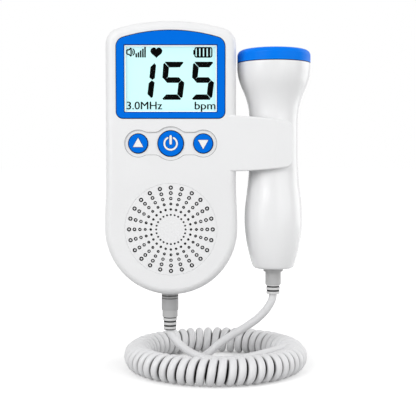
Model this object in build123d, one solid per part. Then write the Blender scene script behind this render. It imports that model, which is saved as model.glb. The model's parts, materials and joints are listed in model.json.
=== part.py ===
"""Hand-held fetal doppler monitor with a clip-on probe and a curly cord.

Millimetres. +X is to the right of the display, +Z is up and -Y faces the user.
The origin is the centre of the monitor's flat back face.
"""

import os
from math import asin, cos, degrees, radians, sin, sqrt, tan

from build123d import *

# ---- case ----
case_depth = 32.0
case_half_width = 31.9
case_top_z = 66.8
top_arc_radius = 99.0
shoulder_radius = 8.2
belly_radius = 32.7
belly_centre_z = -34.9
flare_start_z = -10.0
case_wall = 2.3
front_edge_radius = 4.0
back_edge_radius = 4.5
seam_chamfer = 0.25
crease_z = -11.5
lower_face_tilt = 1.6
slip_gap = 0.12
thread_gap = 0.03

# ---- probe clip ----
clip_past_probe = 8.3
jaw_root_top_z = 20.8
jaw_root_bottom_z = -6.5
jaw_tip_top_z = 17.6
jaw_tip_bottom_z = -4.2
jaw_bow = 0.7
jaw_wall = 2.6
jaw_tip_wall = 1.2
jaw_bend_length = 8.2
jaw_corner_radius = 3.2
jaw_edge_radius = 0.8

# ---- display ----
frame_half_width = 26.4
frame_bottom_z = 19.25
frame_top_z = 61.75
frame_arc_radius = 81.0
frame_bottom_corner = 3.2
frame_top_corner = 4.6
frame_seat_depth = 1.3
frame_proud = 0.3
frame_chamfer = 0.35
window_half_width = 22.75
window_bottom_z = 22.1
window_top_z = 54.95
window_lip = 0.8
lens_overlap = 1.2
lens_thickness = 1.2
frame_rim = 1.1
lcd_thickness = 2.4
backlight_thickness = 2.5

# ---- buttons ----
button_z = 7.0
button_pitch = 15.85
power_button_radius = 6.25
side_button_radius = 4.7
button_proud = 0.9
button_edge = 0.5
button_flange_width = 0.9
button_flange_thickness = 0.7
button_travel = 0.6
pod_depth = 0.5
pod_centre_radius = 8.2
pod_side_radius = 6.6
pod_waist_half = 5.5
pod_blend_radius = 4.0
switch_side = 6.0
switch_height = 1.6
plunger_radius = 1.7
plunger_rest_gap = 0.2
plunger_slip = 0.06

# ---- speaker ----
speaker_z = -35.0
grille_radius = 22.6
grille_thickness = 1.2
grille_dome = 0.35
grille_ledge = 0.9
grille_spokes = 24
grille_first_ring = 7.2
grille_ring_pitch = 2.66
grille_rings = 6
grille_first_hole = 0.42
grille_last_hole = 1.0
mesh_thickness = 0.3
gasket_thickness = 1.1
gasket_width = 2.8
speaker_rim_thickness = 0.8
speaker_radius = 21.4
speaker_depth = 4.6
basket_base_radius = 10.5
basket_wall = 0.8
cone_outer_radius = 17.6
cone_throat_radius = 5.5
cone_depth = 3.2
cone_thickness = 0.4
dust_cap_rise = 1.5
magnet_radius = 9.0
magnet_thickness = 5.0
speaker_ring_wall = 1.1
speaker_ring_height = 3.0

# ---- circuit board ----
board_thickness = 1.6
board_bottom_z = -11.2
board_top_z = 60.0
board_edge_gap = 0.7
board_boss_gap = 0.4
post_radius = 1.7
board_post_places = [(27.2, 50.0), (-27.2, 50.0), (24.5, -7.5), (-24.5, -7.5)]
board_screw_radius = 0.8
board_screw_head_radius = 1.8
board_screw_head = 1.2
board_screw_length = 4.4
board_screw_slot_length = 2.4
board_screw_slot_width = 0.5
board_screw_slot_depth = 0.5
# x, z, width and height of each flat chip
chip_places = [
    (-6.0, 34.0, 10.0, 10.0),
    (12.0, 40.0, 5.0, 6.0),
    (12.0, 28.0, 5.0, 6.0),
    (-20.0, 34.0, 4.0, 9.0),
    (-12.0, -6.0, 8.0, 5.0),
]
chip_thickness = 1.1
# x, z, radius and height of each standing capacitor
capacitor_places = [(12.0, -4.0, 2.5, 5.0), (18.0, -6.0, 2.0, 4.4)]

# ---- case screws ----
boss_radius = 3.2
screw_radius = 1.1
screw_head_radius = 2.1
screw_head = 1.6
screw_cross_arm = 1.3
screw_cross_width = 0.6
screw_cross_depth = 0.8
screw_well_radius = 2.5
screw_well_depth = 6.0
screw_bite = 7.0
boss_places = [(25.6, 12.0), (-25.6, 12.0), (19.0, -51.0), (-19.0, -51.0)]

# ---- batteries ----
cell_radius = 7.25
cell_length = 50.5
cell_nub_radius = 2.75
cell_nub = 1.0
cell_gap = 0.4
cell_slack = 0.3
bay_bottom_z = 5.6
bay_wall = 1.3
contact_thickness = 0.4
contact_side = 9.0
spring_height = 2.6
spring_base_radius = 3.4
spring_tip_radius = 2.4
spring_wire = 0.6
cell_back_gap = 3.3
door_thickness = 1.2
door_margin = 1.2
door_tab_length = 0.85
door_tab_width = 8.0
door_tab_thickness = 0.8
door_corner = 1.5
door_grip_radius = 7.0
door_grip_depth = 0.5

# ---- sockets ----
socket_x = -1.15
socket_nose_radius = 4.5
socket_side = 11.0
socket_height = 11.0
socket_recess = 0.25
socket_body_gap = 1.1
plug_pin_radius = 2.4
plug_pin_length = 9.0
plug_pin_gap = 0.08
plug_pin_spare = 1.0
headphone_z = -4.0
headphone_bore_radius = 1.8
headphone_bore_length = 12.0
headphone_nose_radius = 3.0
headphone_side = 6.4

# ---- probe ----
probe_side_gap = 1.05
probe_wall = 2.0
probe_top_z = 47.3
probe_bottom_z = -55.6
probe_head_radius = 18.35
probe_waist_radius = 12.15
probe_waist_z = 9.0
probe_belly_radius = 14.6
probe_belly_z = -29.0
probe_base_radius = 10.1
probe_base_corner = 2.0
# the handle's side: share of the change in radius and share of the way down
probe_flare = [
    (1.0, 0.0),
    (0.989, 0.099),
    (0.815, 0.238),
    (0.476, 0.373),
    (0.105, 0.569),
    (0.0, 0.843),
]
probe_swell = [(0.02, 0.158), (0.306, 0.553), (1.0, 1.0)]
probe_taper = [(0.222, 0.508), (1.0, 1.0)]
pry_notch_z = -24.0
pry_notch_height = 2.7
pry_notch_width = 1.2
pry_notch_depth = 1.2
cap_top_z = 54.0
cap_edge_radius = 2.8
cap_spigot_length = 4.2
cap_spigot_wall = 2.6
cap_lip_width = 2.6
face_recess = 0.35
face_thickness = 2.2
face_edge_radius = 0.3
face_slack = 0.6
piezo_radius = 11.0
piezo_thickness = 0.8
piezo_gap = 1.0
backing_height = 8.0
probe_board_top_z = 30.0
probe_board_bottom_z = -44.0
probe_board_thickness = 1.2

# ---- glands and plug ----
gland_flange_radius = 4.95
gland_flange_thickness = 1.7
gland_radius = 3.95
gland_length = 6.6
gland_neck_radius = 3.0
gland_neck_slack = 0.3
gland_keeper = 1.2
gland_boot_radius = 3.5
gland_boot_length = 4.8
plug_collar_radius = 4.25
plug_collar_length = 3.4
plug_stand_off = 0.2
plug_radius = 4.3
plug_length = 5.7
plug_step_radius = 3.9
plug_step_length = 3.6
plug_boot_radius = 3.4
plug_boot_length = 6.5
slit_height = 0.7
slit_depth = 0.8

# ---- cord ----
wire_radius = 2.05
coil_centre = (22.1, -16.0)
coil_ring_radius = 39.0
coil_tube_radius = 6.9
coil_centre_z = -100.0
coil_start_angle = -2.0
coil_end_angle = -352.0

split_y = -case_depth / 2
probe_x = case_half_width + probe_side_gap + probe_head_radius
clip_tip_x = probe_x + clip_past_probe
inner_front_y = -case_depth + case_wall
top_arc_centre_z = case_top_z - top_arc_radius
case_bottom_z = belly_centre_z - belly_radius
bay_half_width = 2 * cell_radius + cell_gap / 2 + cell_slack
bay_top_z = bay_bottom_z + cell_length + spring_height + 2 * contact_thickness
cell_centre_y = -cell_back_gap - cell_radius
bay_floor_y = cell_centre_y - cell_radius - cell_slack
cell_places = {-1: cell_radius + cell_gap / 2, 1: -cell_radius - cell_gap / 2}
button_places = {"up": -button_pitch, "power": 0.0, "down": button_pitch}
button_radii = {
    "up": side_button_radius,
    "power": power_button_radius,
    "down": side_button_radius,
}

os.makedirs("parts", exist_ok=True)


def save(shape, name):
    """Writes one node's solids to its own file."""
    export_step(shape, f"parts/{name}.step")


def facing(y):
    """A plane that faces the user, with local x along X and local y along Z."""
    return Plane(origin=(0, y, 0), x_dir=(1, 0, 0), z_dir=(0, -1, 0))


def slab(outline, back_y, front_y):
    """The outline, drawn in X and Z, as a solid between two depths."""
    return extrude(facing(back_y) * outline, amount=back_y - front_y)


def block(x0, x1, y0, y1, z0, z1):
    """A box between two corners."""
    centre = ((x0 + x1) / 2, (y0 + y1) / 2, (z0 + z1) / 2)
    return Pos(*centre) * Box(x1 - x0, y1 - y0, z1 - z0)


def rod_y(x, z, radius, back_y, front_y):
    """A round bar along Y."""
    return slab(Pos(x, z) * Circle(radius), back_y, front_y)


def rod_z(x, y, radius, z0, z1):
    """A round bar along Z."""
    return Pos(x, y, (z0 + z1) / 2) * Cylinder(radius, z1 - z0)


def rod_x(y, z, radius, x0, x1):
    """A round bar along X."""
    return Pos((x0 + x1) / 2, y, z) * Rot(0, 90, 0) * Cylinder(radius, x1 - x0)


def turned(points, x=0.0, y=0.0):
    """Revolves a closed outline of (radius, height) points about a vertical axis."""
    face = Plane.XZ * make_face(Polyline(*points, close=True))
    return Pos(x, y, 0) * revolve(face, Axis.Z)


# ---- outlines ----


def case_outline(inset=0.0):
    """The monitor's front view: arched top, straight sides, round belly."""
    side = case_half_width - inset
    belly = belly_radius - inset
    arc = top_arc_radius - inset
    shoulder_z = top_arc_centre_z + sqrt(arc**2 - side**2)
    middle = ((side + belly) / 2, (flare_start_z + belly_centre_z) / 2)
    edges = [
        ThreePointArc((-side, shoulder_z), (0, case_top_z - inset), (side, shoulder_z)),
        ThreePointArc(
            (belly, belly_centre_z),
            (0, belly_centre_z - belly),
            (-belly, belly_centre_z),
        ),
    ]
    for sign in (1, -1):
        top = (sign * side, flare_start_z)
        bottom = (sign * belly, belly_centre_z)
        turn = (sign * middle[0], middle[1])
        edges.append(Line((sign * side, shoulder_z), top))
        edges.append(TangentArc(top, turn, tangent=(0, -1)))
        edges.append(TangentArc(bottom, turn, tangent=(0, 1)))
    face = make_face(edges)
    shoulders = face.vertices().group_by(Axis.Y)[-1]
    return fillet(shoulders, shoulder_radius - inset)


def frame_outline(grow=0.0):
    """The display bezel: flat bottom, arched top, rounded corners."""
    side = frame_half_width + grow
    arc = frame_arc_radius + grow
    arc_centre_z = frame_top_z - frame_arc_radius
    corner_z = arc_centre_z + sqrt(arc**2 - side**2)
    bottom = frame_bottom_z - grow
    face = make_face(
        [
            ThreePointArc((-side, corner_z), (0, frame_top_z + grow), (side, corner_z)),
            Line((side, corner_z), (side, bottom)),
            Line((side, bottom), (-side, bottom)),
            Line((-side, bottom), (-side, corner_z)),
        ]
    )
    face = fillet(face.vertices().group_by(Axis.Y)[-1], frame_top_corner + grow)
    return fillet(face.vertices().group_by(Axis.Y)[0], frame_bottom_corner + grow)


def window_outline(grow=0.0):
    """The rectangle of the display window, grown evenly on all sides."""
    width = 2 * (window_half_width + grow)
    height = window_top_z - window_bottom_z + 2 * grow
    centre_z = (window_top_z + window_bottom_z) / 2
    return Pos(0, centre_z) * Rectangle(width, height)


def pod_outline():
    """The wavy recess round the three buttons."""
    pod = Pos(0, button_z) * Circle(pod_centre_radius)
    waist = Pos(0, button_z) * Rectangle(2 * button_pitch, 2 * pod_waist_half)
    pod = pod + waist
    for sign in (1, -1):
        pod = pod + Pos(sign * button_pitch, button_z) * Circle(pod_side_radius)
    hollows = [
        v for v in pod.vertices() if abs(abs(v.Y - button_z) - pod_waist_half) < 0.01
    ]
    return fillet(hollows, pod_blend_radius)


# ---- case shells ----


def below_crease(offset=0.0):
    """Everything in front of the lower front face, which leans back a little."""
    reach = 2 * case_depth
    slope = tan(radians(lower_face_tilt))
    front = -case_depth + offset
    drop = crease_z - case_bottom_z + case_depth
    outline = Polyline(
        (front, crease_z),
        (front + drop * slope, crease_z - drop),
        (front - reach, crease_z - drop),
        (front - reach, crease_z),
        close=True,
    )
    side_view = Plane(origin=(-reach, 0, 0), x_dir=(0, 1, 0), z_dir=(1, 0, 0))
    return extrude(side_view * make_face(outline), amount=2 * reach)


def is_rim(edge, y_limit, front):
    """True for an outline edge of the front (or back) face, not of its crease."""
    middle = edge.center()
    if front and middle.Y > y_limit or not front and middle.Y < y_limit:
        return False
    direction = edge.tangent_at(0.5)
    along_y = abs(direction.Y) > 0.9
    crease = abs(middle.Z - crease_z) < 0.01 and abs(middle.X) < 0.01
    return not along_y and not (front and crease)


def outer_front():
    """The front half of the case as a full solid with rounded edges."""
    body = slab(case_outline(), split_y, -case_depth) - below_crease()
    near_front = -case_depth + front_edge_radius
    rim = [e for e in body.edges() if is_rim(e, near_front, True)]
    body = fillet(rim, front_edge_radius)
    seam = body.faces().sort_by(Axis.Y)[-1].edges()
    return chamfer(seam, seam_chamfer)


def outer_back():
    """The rear half of the case as a full solid with rounded edges."""
    body = slab(case_outline(), 0, split_y)
    body = fillet(body.faces().sort_by(Axis.Y)[-1].edges(), back_edge_radius)
    seam = body.faces().sort_by(Axis.Y)[0].edges()
    return chamfer(seam, seam_chamfer)


def front_jaw():
    """The front arm of the probe clip, bent back at its tip."""
    root_x = case_half_width - front_edge_radius - case_wall
    middle_x = (root_x + clip_tip_x) / 2
    top_middle = (jaw_root_top_z + jaw_tip_top_z) / 2 + jaw_bow
    bottom_middle = (jaw_root_bottom_z + jaw_tip_bottom_z) / 2 - jaw_bow
    face = make_face(
        [
            ThreePointArc(
                (root_x, jaw_root_top_z),
                (middle_x, top_middle),
                (clip_tip_x, jaw_tip_top_z),
            ),
            Line((clip_tip_x, jaw_tip_top_z), (clip_tip_x, jaw_tip_bottom_z)),
            ThreePointArc(
                (clip_tip_x, jaw_tip_bottom_z),
                (middle_x, bottom_middle),
                (root_x, jaw_root_bottom_z),
            ),
            Line((root_x, jaw_root_bottom_z), (root_x, jaw_root_top_z)),
        ]
    )
    face = fillet(face.vertices().group_by(Axis.X)[-1], jaw_corner_radius)
    arm = slab(face, -case_depth + jaw_wall, -2 * case_depth)
    bend_x = clip_tip_x - jaw_bend_length
    drop = jaw_wall - jaw_tip_wall
    past_tip = clip_tip_x + jaw_wall / 2
    past_tip_y = -case_depth + drop * (past_tip - bend_x) / jaw_bend_length
    top_view = make_face(
        [
            Line((0, -case_depth), (bend_x, -case_depth)),
            Line((bend_x, -case_depth), (past_tip, past_tip_y)),
            Line((past_tip, past_tip_y), (past_tip, split_y)),
            Line((past_tip, split_y), (0, split_y)),
            Line((0, split_y), (0, -case_depth)),
        ]
    )
    arm = arm & Pos(0, 0, -2 * case_depth) * extrude(top_view, amount=4 * case_depth)
    outer_edges = [
        e
        for e in arm.edges()
        if e.center().Y < -case_depth + drop + 0.01
        and e.center().X > root_x + 0.1
        and abs(e.tangent_at(0.5).Y) < 0.9
        and not (abs(e.center().X - bend_x) < 0.01 and abs(e.tangent_at(0.5).Z) > 0.9)
    ]
    return fillet(outer_edges, jaw_edge_radius)


def speaker_place():
    """Where the speaker's axis meets the leaning lower front face."""
    front = -case_depth + (crease_z - speaker_z) * tan(radians(lower_face_tilt))
    return Pos(0, front, speaker_z) * Rot(lower_face_tilt, 0, 0)


def speaker_disc(radius, depth0, depth1, inner=0.0):
    """A disc or ring on the speaker's axis, between two depths behind the face."""
    disc = Circle(radius) - Circle(inner) if inner else Circle(radius)
    return speaker_place() * slab(disc, depth1, depth0)


def socket_hole():
    """The round hole for the probe socket in the bottom of the case."""
    radius = socket_nose_radius + slip_gap
    return rod_z(socket_x, split_y, radius, case_bottom_z - 2, case_bottom_z + 6)


def headphone_hole():
    """The round hole for the headphone socket in the left side of the case."""
    radius = headphone_nose_radius + slip_gap
    return rod_x(
        split_y, headphone_z, radius, -case_half_width - 2, -case_half_width + 2 * case_wall
    )


def front_shell():
    """Front casing with the front jaw, bosses, posts and every front opening."""
    shell = outer_front() + front_jaw()
    cavity = slab(case_outline(case_wall), split_y, inner_front_y)
    shell = shell - (cavity - below_crease(case_wall))
    wall_middle_y = inner_front_y - case_wall / 4
    for x, z in boss_places:
        shell = shell + rod_y(x, z, boss_radius, split_y, wall_middle_y)
    for x, z in board_post_places:
        shell = shell + rod_y(x, z, post_radius, board_front_y, wall_middle_y)
    ring_inner = speaker_radius + 2 * slip_gap
    ring_outer = ring_inner + speaker_ring_wall
    ring_end = case_wall + speaker_ring_height
    shell = shell + speaker_disc(ring_outer, case_wall / 2, ring_end, ring_inner)
    for x, z in boss_places:
        pilot_end = screw_seat_y - screw_shank_length - slip_gap
        shell = shell - rod_y(x, z, screw_radius + thread_gap, split_y, pilot_end)
    for x, z in board_post_places:
        hole_end = board_front_y - (board_screw_length - board_thickness) - slip_gap
        shell = shell - rod_y(x, z, board_screw_radius + thread_gap, board_front_y, hole_end)
    seat_y = -case_depth + frame_seat_depth
    shell = shell - slab(frame_outline(slip_gap), seat_y, -2 * case_depth)
    opening = window_outline(lens_overlap + frame_rim + slip_gap)
    shell = shell - slab(opening, split_y, -2 * case_depth)
    shell = shell - slab(pod_outline(), -case_depth + pod_depth, -2 * case_depth)
    for name, x in button_places.items():
        hole = button_radii[name] + slip_gap
        shell = shell - rod_y(x, button_z, hole, split_y, -2 * case_depth)
    shell = shell - speaker_disc(grille_radius + slip_gap / 2, -case_depth, grille_thickness)
    shell = shell - speaker_disc(grille_radius - grille_ledge, -case_depth, 2 * case_wall)
    return shell - socket_hole() - headphone_hole()


def rear_shell():
    """Rear casing with the rear jaw, battery bay and screw wells."""
    rear_jaw = mirror(front_jaw(), Plane(origin=(0, split_y, 0), z_dir=(0, 1, 0)))
    shell = outer_back() + rear_jaw
    shell = shell - slab(case_outline(case_wall), -case_wall, split_y)
    for x, z in boss_places:
        shell = shell + rod_y(x, z, boss_radius, -case_wall / 2, split_y)
    bay = block(
        -bay_half_width - bay_wall,
        bay_half_width + bay_wall,
        bay_floor_y - bay_wall,
        -case_wall / 2,
        bay_bottom_z - bay_wall,
        bay_top_z + bay_wall,
    )
    shell = shell + bay
    shell = shell - block(
        -bay_half_width, bay_half_width, bay_floor_y, 1, bay_bottom_z, bay_top_z
    )
    shell = shell - slab(door_outline(slip_gap), 1, -door_thickness - slip_gap)
    for x in (-door_tab_width, door_tab_width):
        shell = shell - block(
            x - door_tab_width / 2 - slip_gap,
            x + door_tab_width / 2 + slip_gap,
            -case_wall - door_tab_thickness - 4 * slip_gap,
            -case_wall,
            bay_top_z - 1,
            bay_top_z + bay_wall + door_tab_length,
        )
    for x, z in boss_places:
        shell = shell - rod_y(x, z, screw_well_radius, 1, screw_seat_y)
        shell = shell - rod_y(x, z, screw_radius + slip_gap, 1, 2 * split_y)
    return shell - socket_hole() - headphone_hole()


# ---- display ----

lens_front_y = -case_depth - frame_proud + window_lip
lens_back_y = lens_front_y + lens_thickness
lcd_back_y = lens_back_y + lcd_thickness
board_front_y = lcd_back_y + backlight_thickness
board_back_y = board_front_y + board_thickness


def display_frame():
    """Blue bezel: a flange in the case's recess and a rim round the lens."""
    front_y = -case_depth - frame_proud
    flange = slab(frame_outline(), -case_depth + frame_seat_depth, front_y)
    flange = chamfer(flange.faces().sort_by(Axis.Y)[0].edges(), frame_chamfer)
    rim = window_outline(lens_overlap + frame_rim)
    frame = flange + slab(rim, lens_back_y, front_y + window_lip)
    frame = frame - slab(window_outline(), 0, -2 * case_depth)
    return frame - slab(window_outline(lens_overlap), 0, lens_front_y)


def display_window():
    """Clear lens behind the bezel's lip."""
    lens = window_outline(lens_overlap - slip_gap)
    return slab(lens, lens_back_y, lens_front_y)


def lcd_panel():
    """Liquid-crystal glass stack behind the lens."""
    return slab(window_outline(lens_overlap - slip_gap), lcd_back_y, lens_back_y)


def lcd_backlight():
    """Light guide behind the display, seated on the board."""
    return slab(window_outline(lens_overlap - slip_gap), board_front_y, lcd_back_y)


# ---- circuit board ----


def main_board():
    """Circuit board that carries the display, the switches and the chips."""
    height = board_top_z - board_bottom_z
    area = Pos(0, (board_top_z + board_bottom_z) / 2) * Rectangle(3 * case_depth, height)
    outline = case_outline(case_wall + board_edge_gap) & area
    board = slab(outline, board_back_y, board_front_y)
    for x, z in boss_places[:2]:
        board = board - rod_y(x, z, boss_radius + board_boss_gap, 0, 2 * split_y)
    for x, z in board_post_places:
        board = board - rod_y(x, z, board_screw_radius + slip_gap, 0, 2 * split_y)
    return board


def chip(x, z, width, height):
    """One rectangular component on the back of the board."""
    return block(
        x - width / 2,
        x + width / 2,
        board_back_y,
        board_back_y + chip_thickness,
        z - height / 2,
        z + height / 2,
    )


def board_chips():
    """Flat chips, low enough for the battery bay, and two standing capacitors."""
    parts = [chip(*place) for place in chip_places]
    for x, z, radius, height in capacitor_places:
        parts.append(rod_y(x, z, radius, board_back_y + height, board_back_y))
    return Compound(children=parts)


def board_screws():
    """Four small screws that hold the board on its posts."""
    screws = []
    for x, z in board_post_places:
        head_y = board_back_y + board_screw_head
        tip_y = board_back_y - board_screw_length
        head = rod_y(x, z, board_screw_head_radius, head_y, board_back_y)
        shank = rod_y(x, z, board_screw_radius, board_back_y, tip_y)
        half = board_screw_slot_width / 2
        reach = board_screw_slot_length / 2
        bottom_y = head_y - board_screw_slot_depth
        slot = block(x - reach, x + reach, bottom_y, head_y + 1, z - half, z + half)
        screws.append(head + shank - slot)
    return Compound(children=screws)


def tact_switches():
    """Three switch bodies on the board, each bored for its plunger."""
    switches = []
    front_y = board_front_y - switch_height
    for x in button_places.values():
        body = block(
            x - switch_side / 2,
            x + switch_side / 2,
            front_y,
            board_front_y,
            button_z - switch_side / 2,
            button_z + switch_side / 2,
        )
        bore = rod_y(x, button_z, plunger_radius + plunger_slip, board_front_y + 1, front_y - 1)
        switches.append(body - bore)
    return Compound(children=switches)


# ---- buttons ----


def button(name):
    """One cap: a rounded disc in its hole and a flange that keeps it in the case."""
    x, radius = button_places[name], button_radii[name]
    front_y = -case_depth + pod_depth - button_proud
    back_y = inner_front_y + slip_gap + button_flange_thickness
    cap = rod_y(x, button_z, radius, back_y, front_y)
    cap = fillet(cap.faces().sort_by(Axis.Y)[0].edges(), button_edge)
    flange_radius = radius + button_flange_width
    return cap + rod_y(x, button_z, flange_radius, back_y, inner_front_y + slip_gap)


def plunger(name):
    """The switch plunger that its button pushes."""
    front_y = inner_front_y + slip_gap + button_flange_thickness
    back_y = board_front_y - plunger_rest_gap - button_travel
    return rod_y(button_places[name], button_z, plunger_radius, back_y, front_y)


# ---- speaker ----


def speaker_grille():
    """Slightly domed disc with spokes of holes that grow outwards."""
    dome_radius = (grille_radius**2 + grille_dome**2) / (2 * grille_dome)
    profile = make_face(
        [
            ThreePointArc(
                (0, grille_dome),
                (grille_radius / 2, grille_dome - (grille_radius / 2) ** 2 / (2 * dome_radius)),
                (grille_radius, 0),
            ),
            Line((grille_radius, 0), (grille_radius, -grille_thickness)),
            Line((grille_radius, -grille_thickness), (0, -grille_thickness)),
            Line((0, -grille_thickness), (0, grille_dome)),
        ]
    )
    disc = Rot(90, 0, 0) * revolve(Plane.XZ * profile, Axis.Z)
    holes = Sketch()
    for ring in range(grille_rings):
        share = ring / (grille_rings - 1)
        hole = grille_first_hole + share * (grille_last_hole - grille_first_hole)
        ring_radius = grille_first_ring + ring * grille_ring_pitch
        holes = holes + PolarLocations(ring_radius, grille_spokes) * Circle(hole)
    return speaker_place() * (disc - slab(holes, 2 * grille_thickness, -2 * grille_dome))


def speaker_mesh():
    """Dust cloth behind the grille."""
    radius = grille_radius - grille_ledge - slip_gap
    return speaker_disc(radius, grille_thickness, grille_thickness + mesh_thickness)


gasket_front = grille_thickness + mesh_thickness
gasket_back = gasket_front + gasket_thickness
rim_back = gasket_back + speaker_rim_thickness


def speaker_gasket():
    """Foam ring between the dust cloth and the speaker."""
    return speaker_disc(
        speaker_radius, gasket_front, gasket_back, speaker_radius - gasket_width
    )


def speaker_turned(points):
    """Revolves (radius, depth) points about the speaker's axis."""
    face = Plane.XZ * make_face(Polyline(*[(r, -d) for r, d in points], close=True))
    return speaker_place() * Rot(90, 0, 0) * revolve(face, Axis.Z)


def speaker_frame():
    """Pressed steel basket: a flat rim and a cone down to the magnet plate."""
    back = rim_back + speaker_depth
    inner_rim = speaker_radius - gasket_width
    points = [
        (inner_rim, gasket_back),
        (speaker_radius, gasket_back),
        (speaker_radius, rim_back),
        (inner_rim + basket_wall, rim_back),
        (basket_base_radius + basket_wall, back),
        (cone_throat_radius, back),
        (cone_throat_radius, back - basket_wall),
        (basket_base_radius, back - basket_wall),
        (inner_rim, rim_back - basket_wall / 2),
    ]
    return speaker_turned(points)


def speaker_cone():
    """Paper cone with its dust cap."""
    front = gasket_back + slip_gap
    inner_rim = speaker_radius - gasket_width - 4 * slip_gap
    points = [
        (inner_rim, front),
        (inner_rim, front + cone_thickness),
        (cone_outer_radius, front + cone_thickness),
        (cone_throat_radius, front + cone_depth),
        (0, front + cone_depth - dust_cap_rise),
        (0, front + cone_depth - dust_cap_rise - cone_thickness),
        (cone_throat_radius, front + cone_depth - cone_thickness),
        (cone_outer_radius, front),
    ]
    return speaker_turned(points)


def speaker_magnet():
    """Magnet behind the basket."""
    front = rim_back + speaker_depth
    return speaker_disc(magnet_radius, front, front + magnet_thickness)


# ---- batteries ----


def battery_cells():
    """Two AA cells side by side, facing opposite ways."""
    cells = []
    for facing_up, x in cell_places.items():
        low = bay_bottom_z + contact_thickness
        high = bay_top_z - contact_thickness
        if facing_up > 0:
            bottom, top = low + spring_height, high - cell_nub
            nub = rod_z(x, cell_centre_y, cell_nub_radius, top, high)
        else:
            bottom, top = low + cell_nub, high - spring_height
            nub = rod_z(x, cell_centre_y, cell_nub_radius, low, bottom)
        cells.append(rod_z(x, cell_centre_y, cell_radius, bottom, top) + nub)
    return Compound(children=cells)


def battery_springs():
    """Conical contact springs at the cells' flat ends, as their outer form."""
    springs = []
    for facing_up, x in cell_places.items():
        base = bay_bottom_z + contact_thickness if facing_up > 0 else bay_top_z - contact_thickness
        tip = base + facing_up * spring_height
        points = [
            (spring_base_radius - spring_wire, base),
            (spring_base_radius, base),
            (spring_tip_radius, tip),
            (spring_tip_radius - spring_wire, tip),
        ]
        springs.append(turned(points, x, cell_centre_y))
    return Compound(children=springs)


def battery_plates():
    """Contact plates: two at the bottom and one bridge at the top."""
    half = contact_side / 2
    y0, y1 = cell_centre_y - half, cell_centre_y + half
    low, high = bay_bottom_z, bay_top_z - contact_thickness
    left, right = cell_places[1], cell_places[-1]
    plates = [
        block(x - half, x + half, y0, y1, low, low + contact_thickness)
        for x in (left, right)
    ]
    plates.append(block(left - half, right + half, y0, y1, high, bay_top_z))
    return Compound(children=plates)


def door_outline(grow=0.0):
    """The battery door's rounded rectangle."""
    width = 2 * (bay_half_width + door_margin + grow)
    height = bay_top_z - bay_bottom_z + 2 * (door_margin + grow)
    centre_z = (bay_top_z + bay_bottom_z) / 2
    return Pos(0, centre_z) * RectangleRounded(width, height, door_corner + grow)


def battery_door():
    """Door with two hooks at its top edge and a thumb grip near its bottom."""
    door = slab(door_outline(), 0, -door_thickness)
    hook_front_y = -case_wall - 3 * slip_gap - door_tab_thickness
    for x in (-door_tab_width, door_tab_width):
        door = door + block(
            x - door_tab_width / 2,
            x + door_tab_width / 2,
            hook_front_y,
            -door_thickness / 2,
            bay_top_z - 1 + slip_gap,
            bay_top_z - slip_gap,
        )
        door = door + block(
            x - door_tab_width / 2,
            x + door_tab_width / 2,
            hook_front_y,
            -case_wall - 3 * slip_gap,
            bay_top_z - 1 + slip_gap,
            bay_top_z + door_tab_length,
        )
    grip_z = bay_bottom_z + door_grip_radius
    grip = rod_y(0, grip_z, door_grip_radius, 1, -door_grip_depth)
    reach = 2 * door_grip_radius
    lower = block(-reach, reach, -reach, reach, grip_z - reach, grip_z)
    return door - (grip & lower)


# ---- fasteners and sockets ----

screw_seat_y = -screw_well_depth
screw_shank_length = -split_y - screw_well_depth + screw_bite


def case_screws():
    """Four screws that join the shells, in wells in the back."""
    screws = []
    for x, z in boss_places:
        head_y = screw_seat_y + screw_head
        tip_y = screw_seat_y - screw_shank_length
        head = rod_y(x, z, screw_head_radius, head_y, screw_seat_y)
        shank = rod_y(x, z, screw_radius, screw_seat_y, tip_y)
        bottom_y = head_y - screw_cross_depth
        arm, half = screw_cross_arm, screw_cross_width / 2
        recess = block(x - arm, x + arm, bottom_y, 1, z - half, z + half)
        recess = recess + block(x - half, x + half, bottom_y, 1, z - arm, z + arm)
        screws.append(head + shank - recess)
    return Compound(children=screws)


def headphone_jack():
    """Headphone socket: a square body and a round nose through the case's side."""
    nose_x = -case_half_width + socket_recess
    body_x = -case_half_width + case_wall + 2 * slip_gap
    end_x = nose_x + headphone_bore_length + 1.0
    half = headphone_side / 2
    body = block(
        body_x, end_x, split_y - half, split_y + half, headphone_z - half, headphone_z + half
    )
    body = body + rod_x(split_y, headphone_z, headphone_nose_radius, nose_x, body_x)
    bore_end = nose_x + headphone_bore_length
    return body - rod_x(split_y, headphone_z, headphone_bore_radius, nose_x - 1, bore_end)


def probe_socket():
    """Socket for the probe's plug in the bottom of the case."""
    nose_z = case_bottom_z + socket_recess
    body_z = case_bottom_z + case_wall + socket_body_gap
    half = socket_side / 2
    body = block(
        socket_x - half,
        socket_x + half,
        split_y - half,
        split_y + half,
        body_z,
        body_z + socket_height,
    )
    body = body + rod_z(socket_x, split_y, socket_nose_radius, nose_z, body_z)
    bore_top = case_bottom_z + plug_pin_length + plug_pin_spare
    bore_radius = plug_pin_radius + plug_pin_gap
    return body - rod_z(socket_x, split_y, bore_radius, nose_z - 1, bore_top)


# ---- probe ----


def probe_curve(inset=0.0):
    """The side of the handle from its rim to its base, as (radius, height) points."""
    head, waist = probe_head_radius - inset, probe_waist_radius - inset
    belly, base = probe_belly_radius - inset, probe_base_radius - inset
    stretches = [
        (probe_flare, waist, head, probe_top_z, probe_waist_z),
        (probe_swell, waist, belly, probe_waist_z, probe_belly_z),
        (probe_taper, belly, base, probe_belly_z, probe_bottom_z),
    ]
    return [
        (near + wide * (far - near), high + down * (low - high))
        for shares, near, far, high, low in stretches
        for wide, down in shares
    ]


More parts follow.
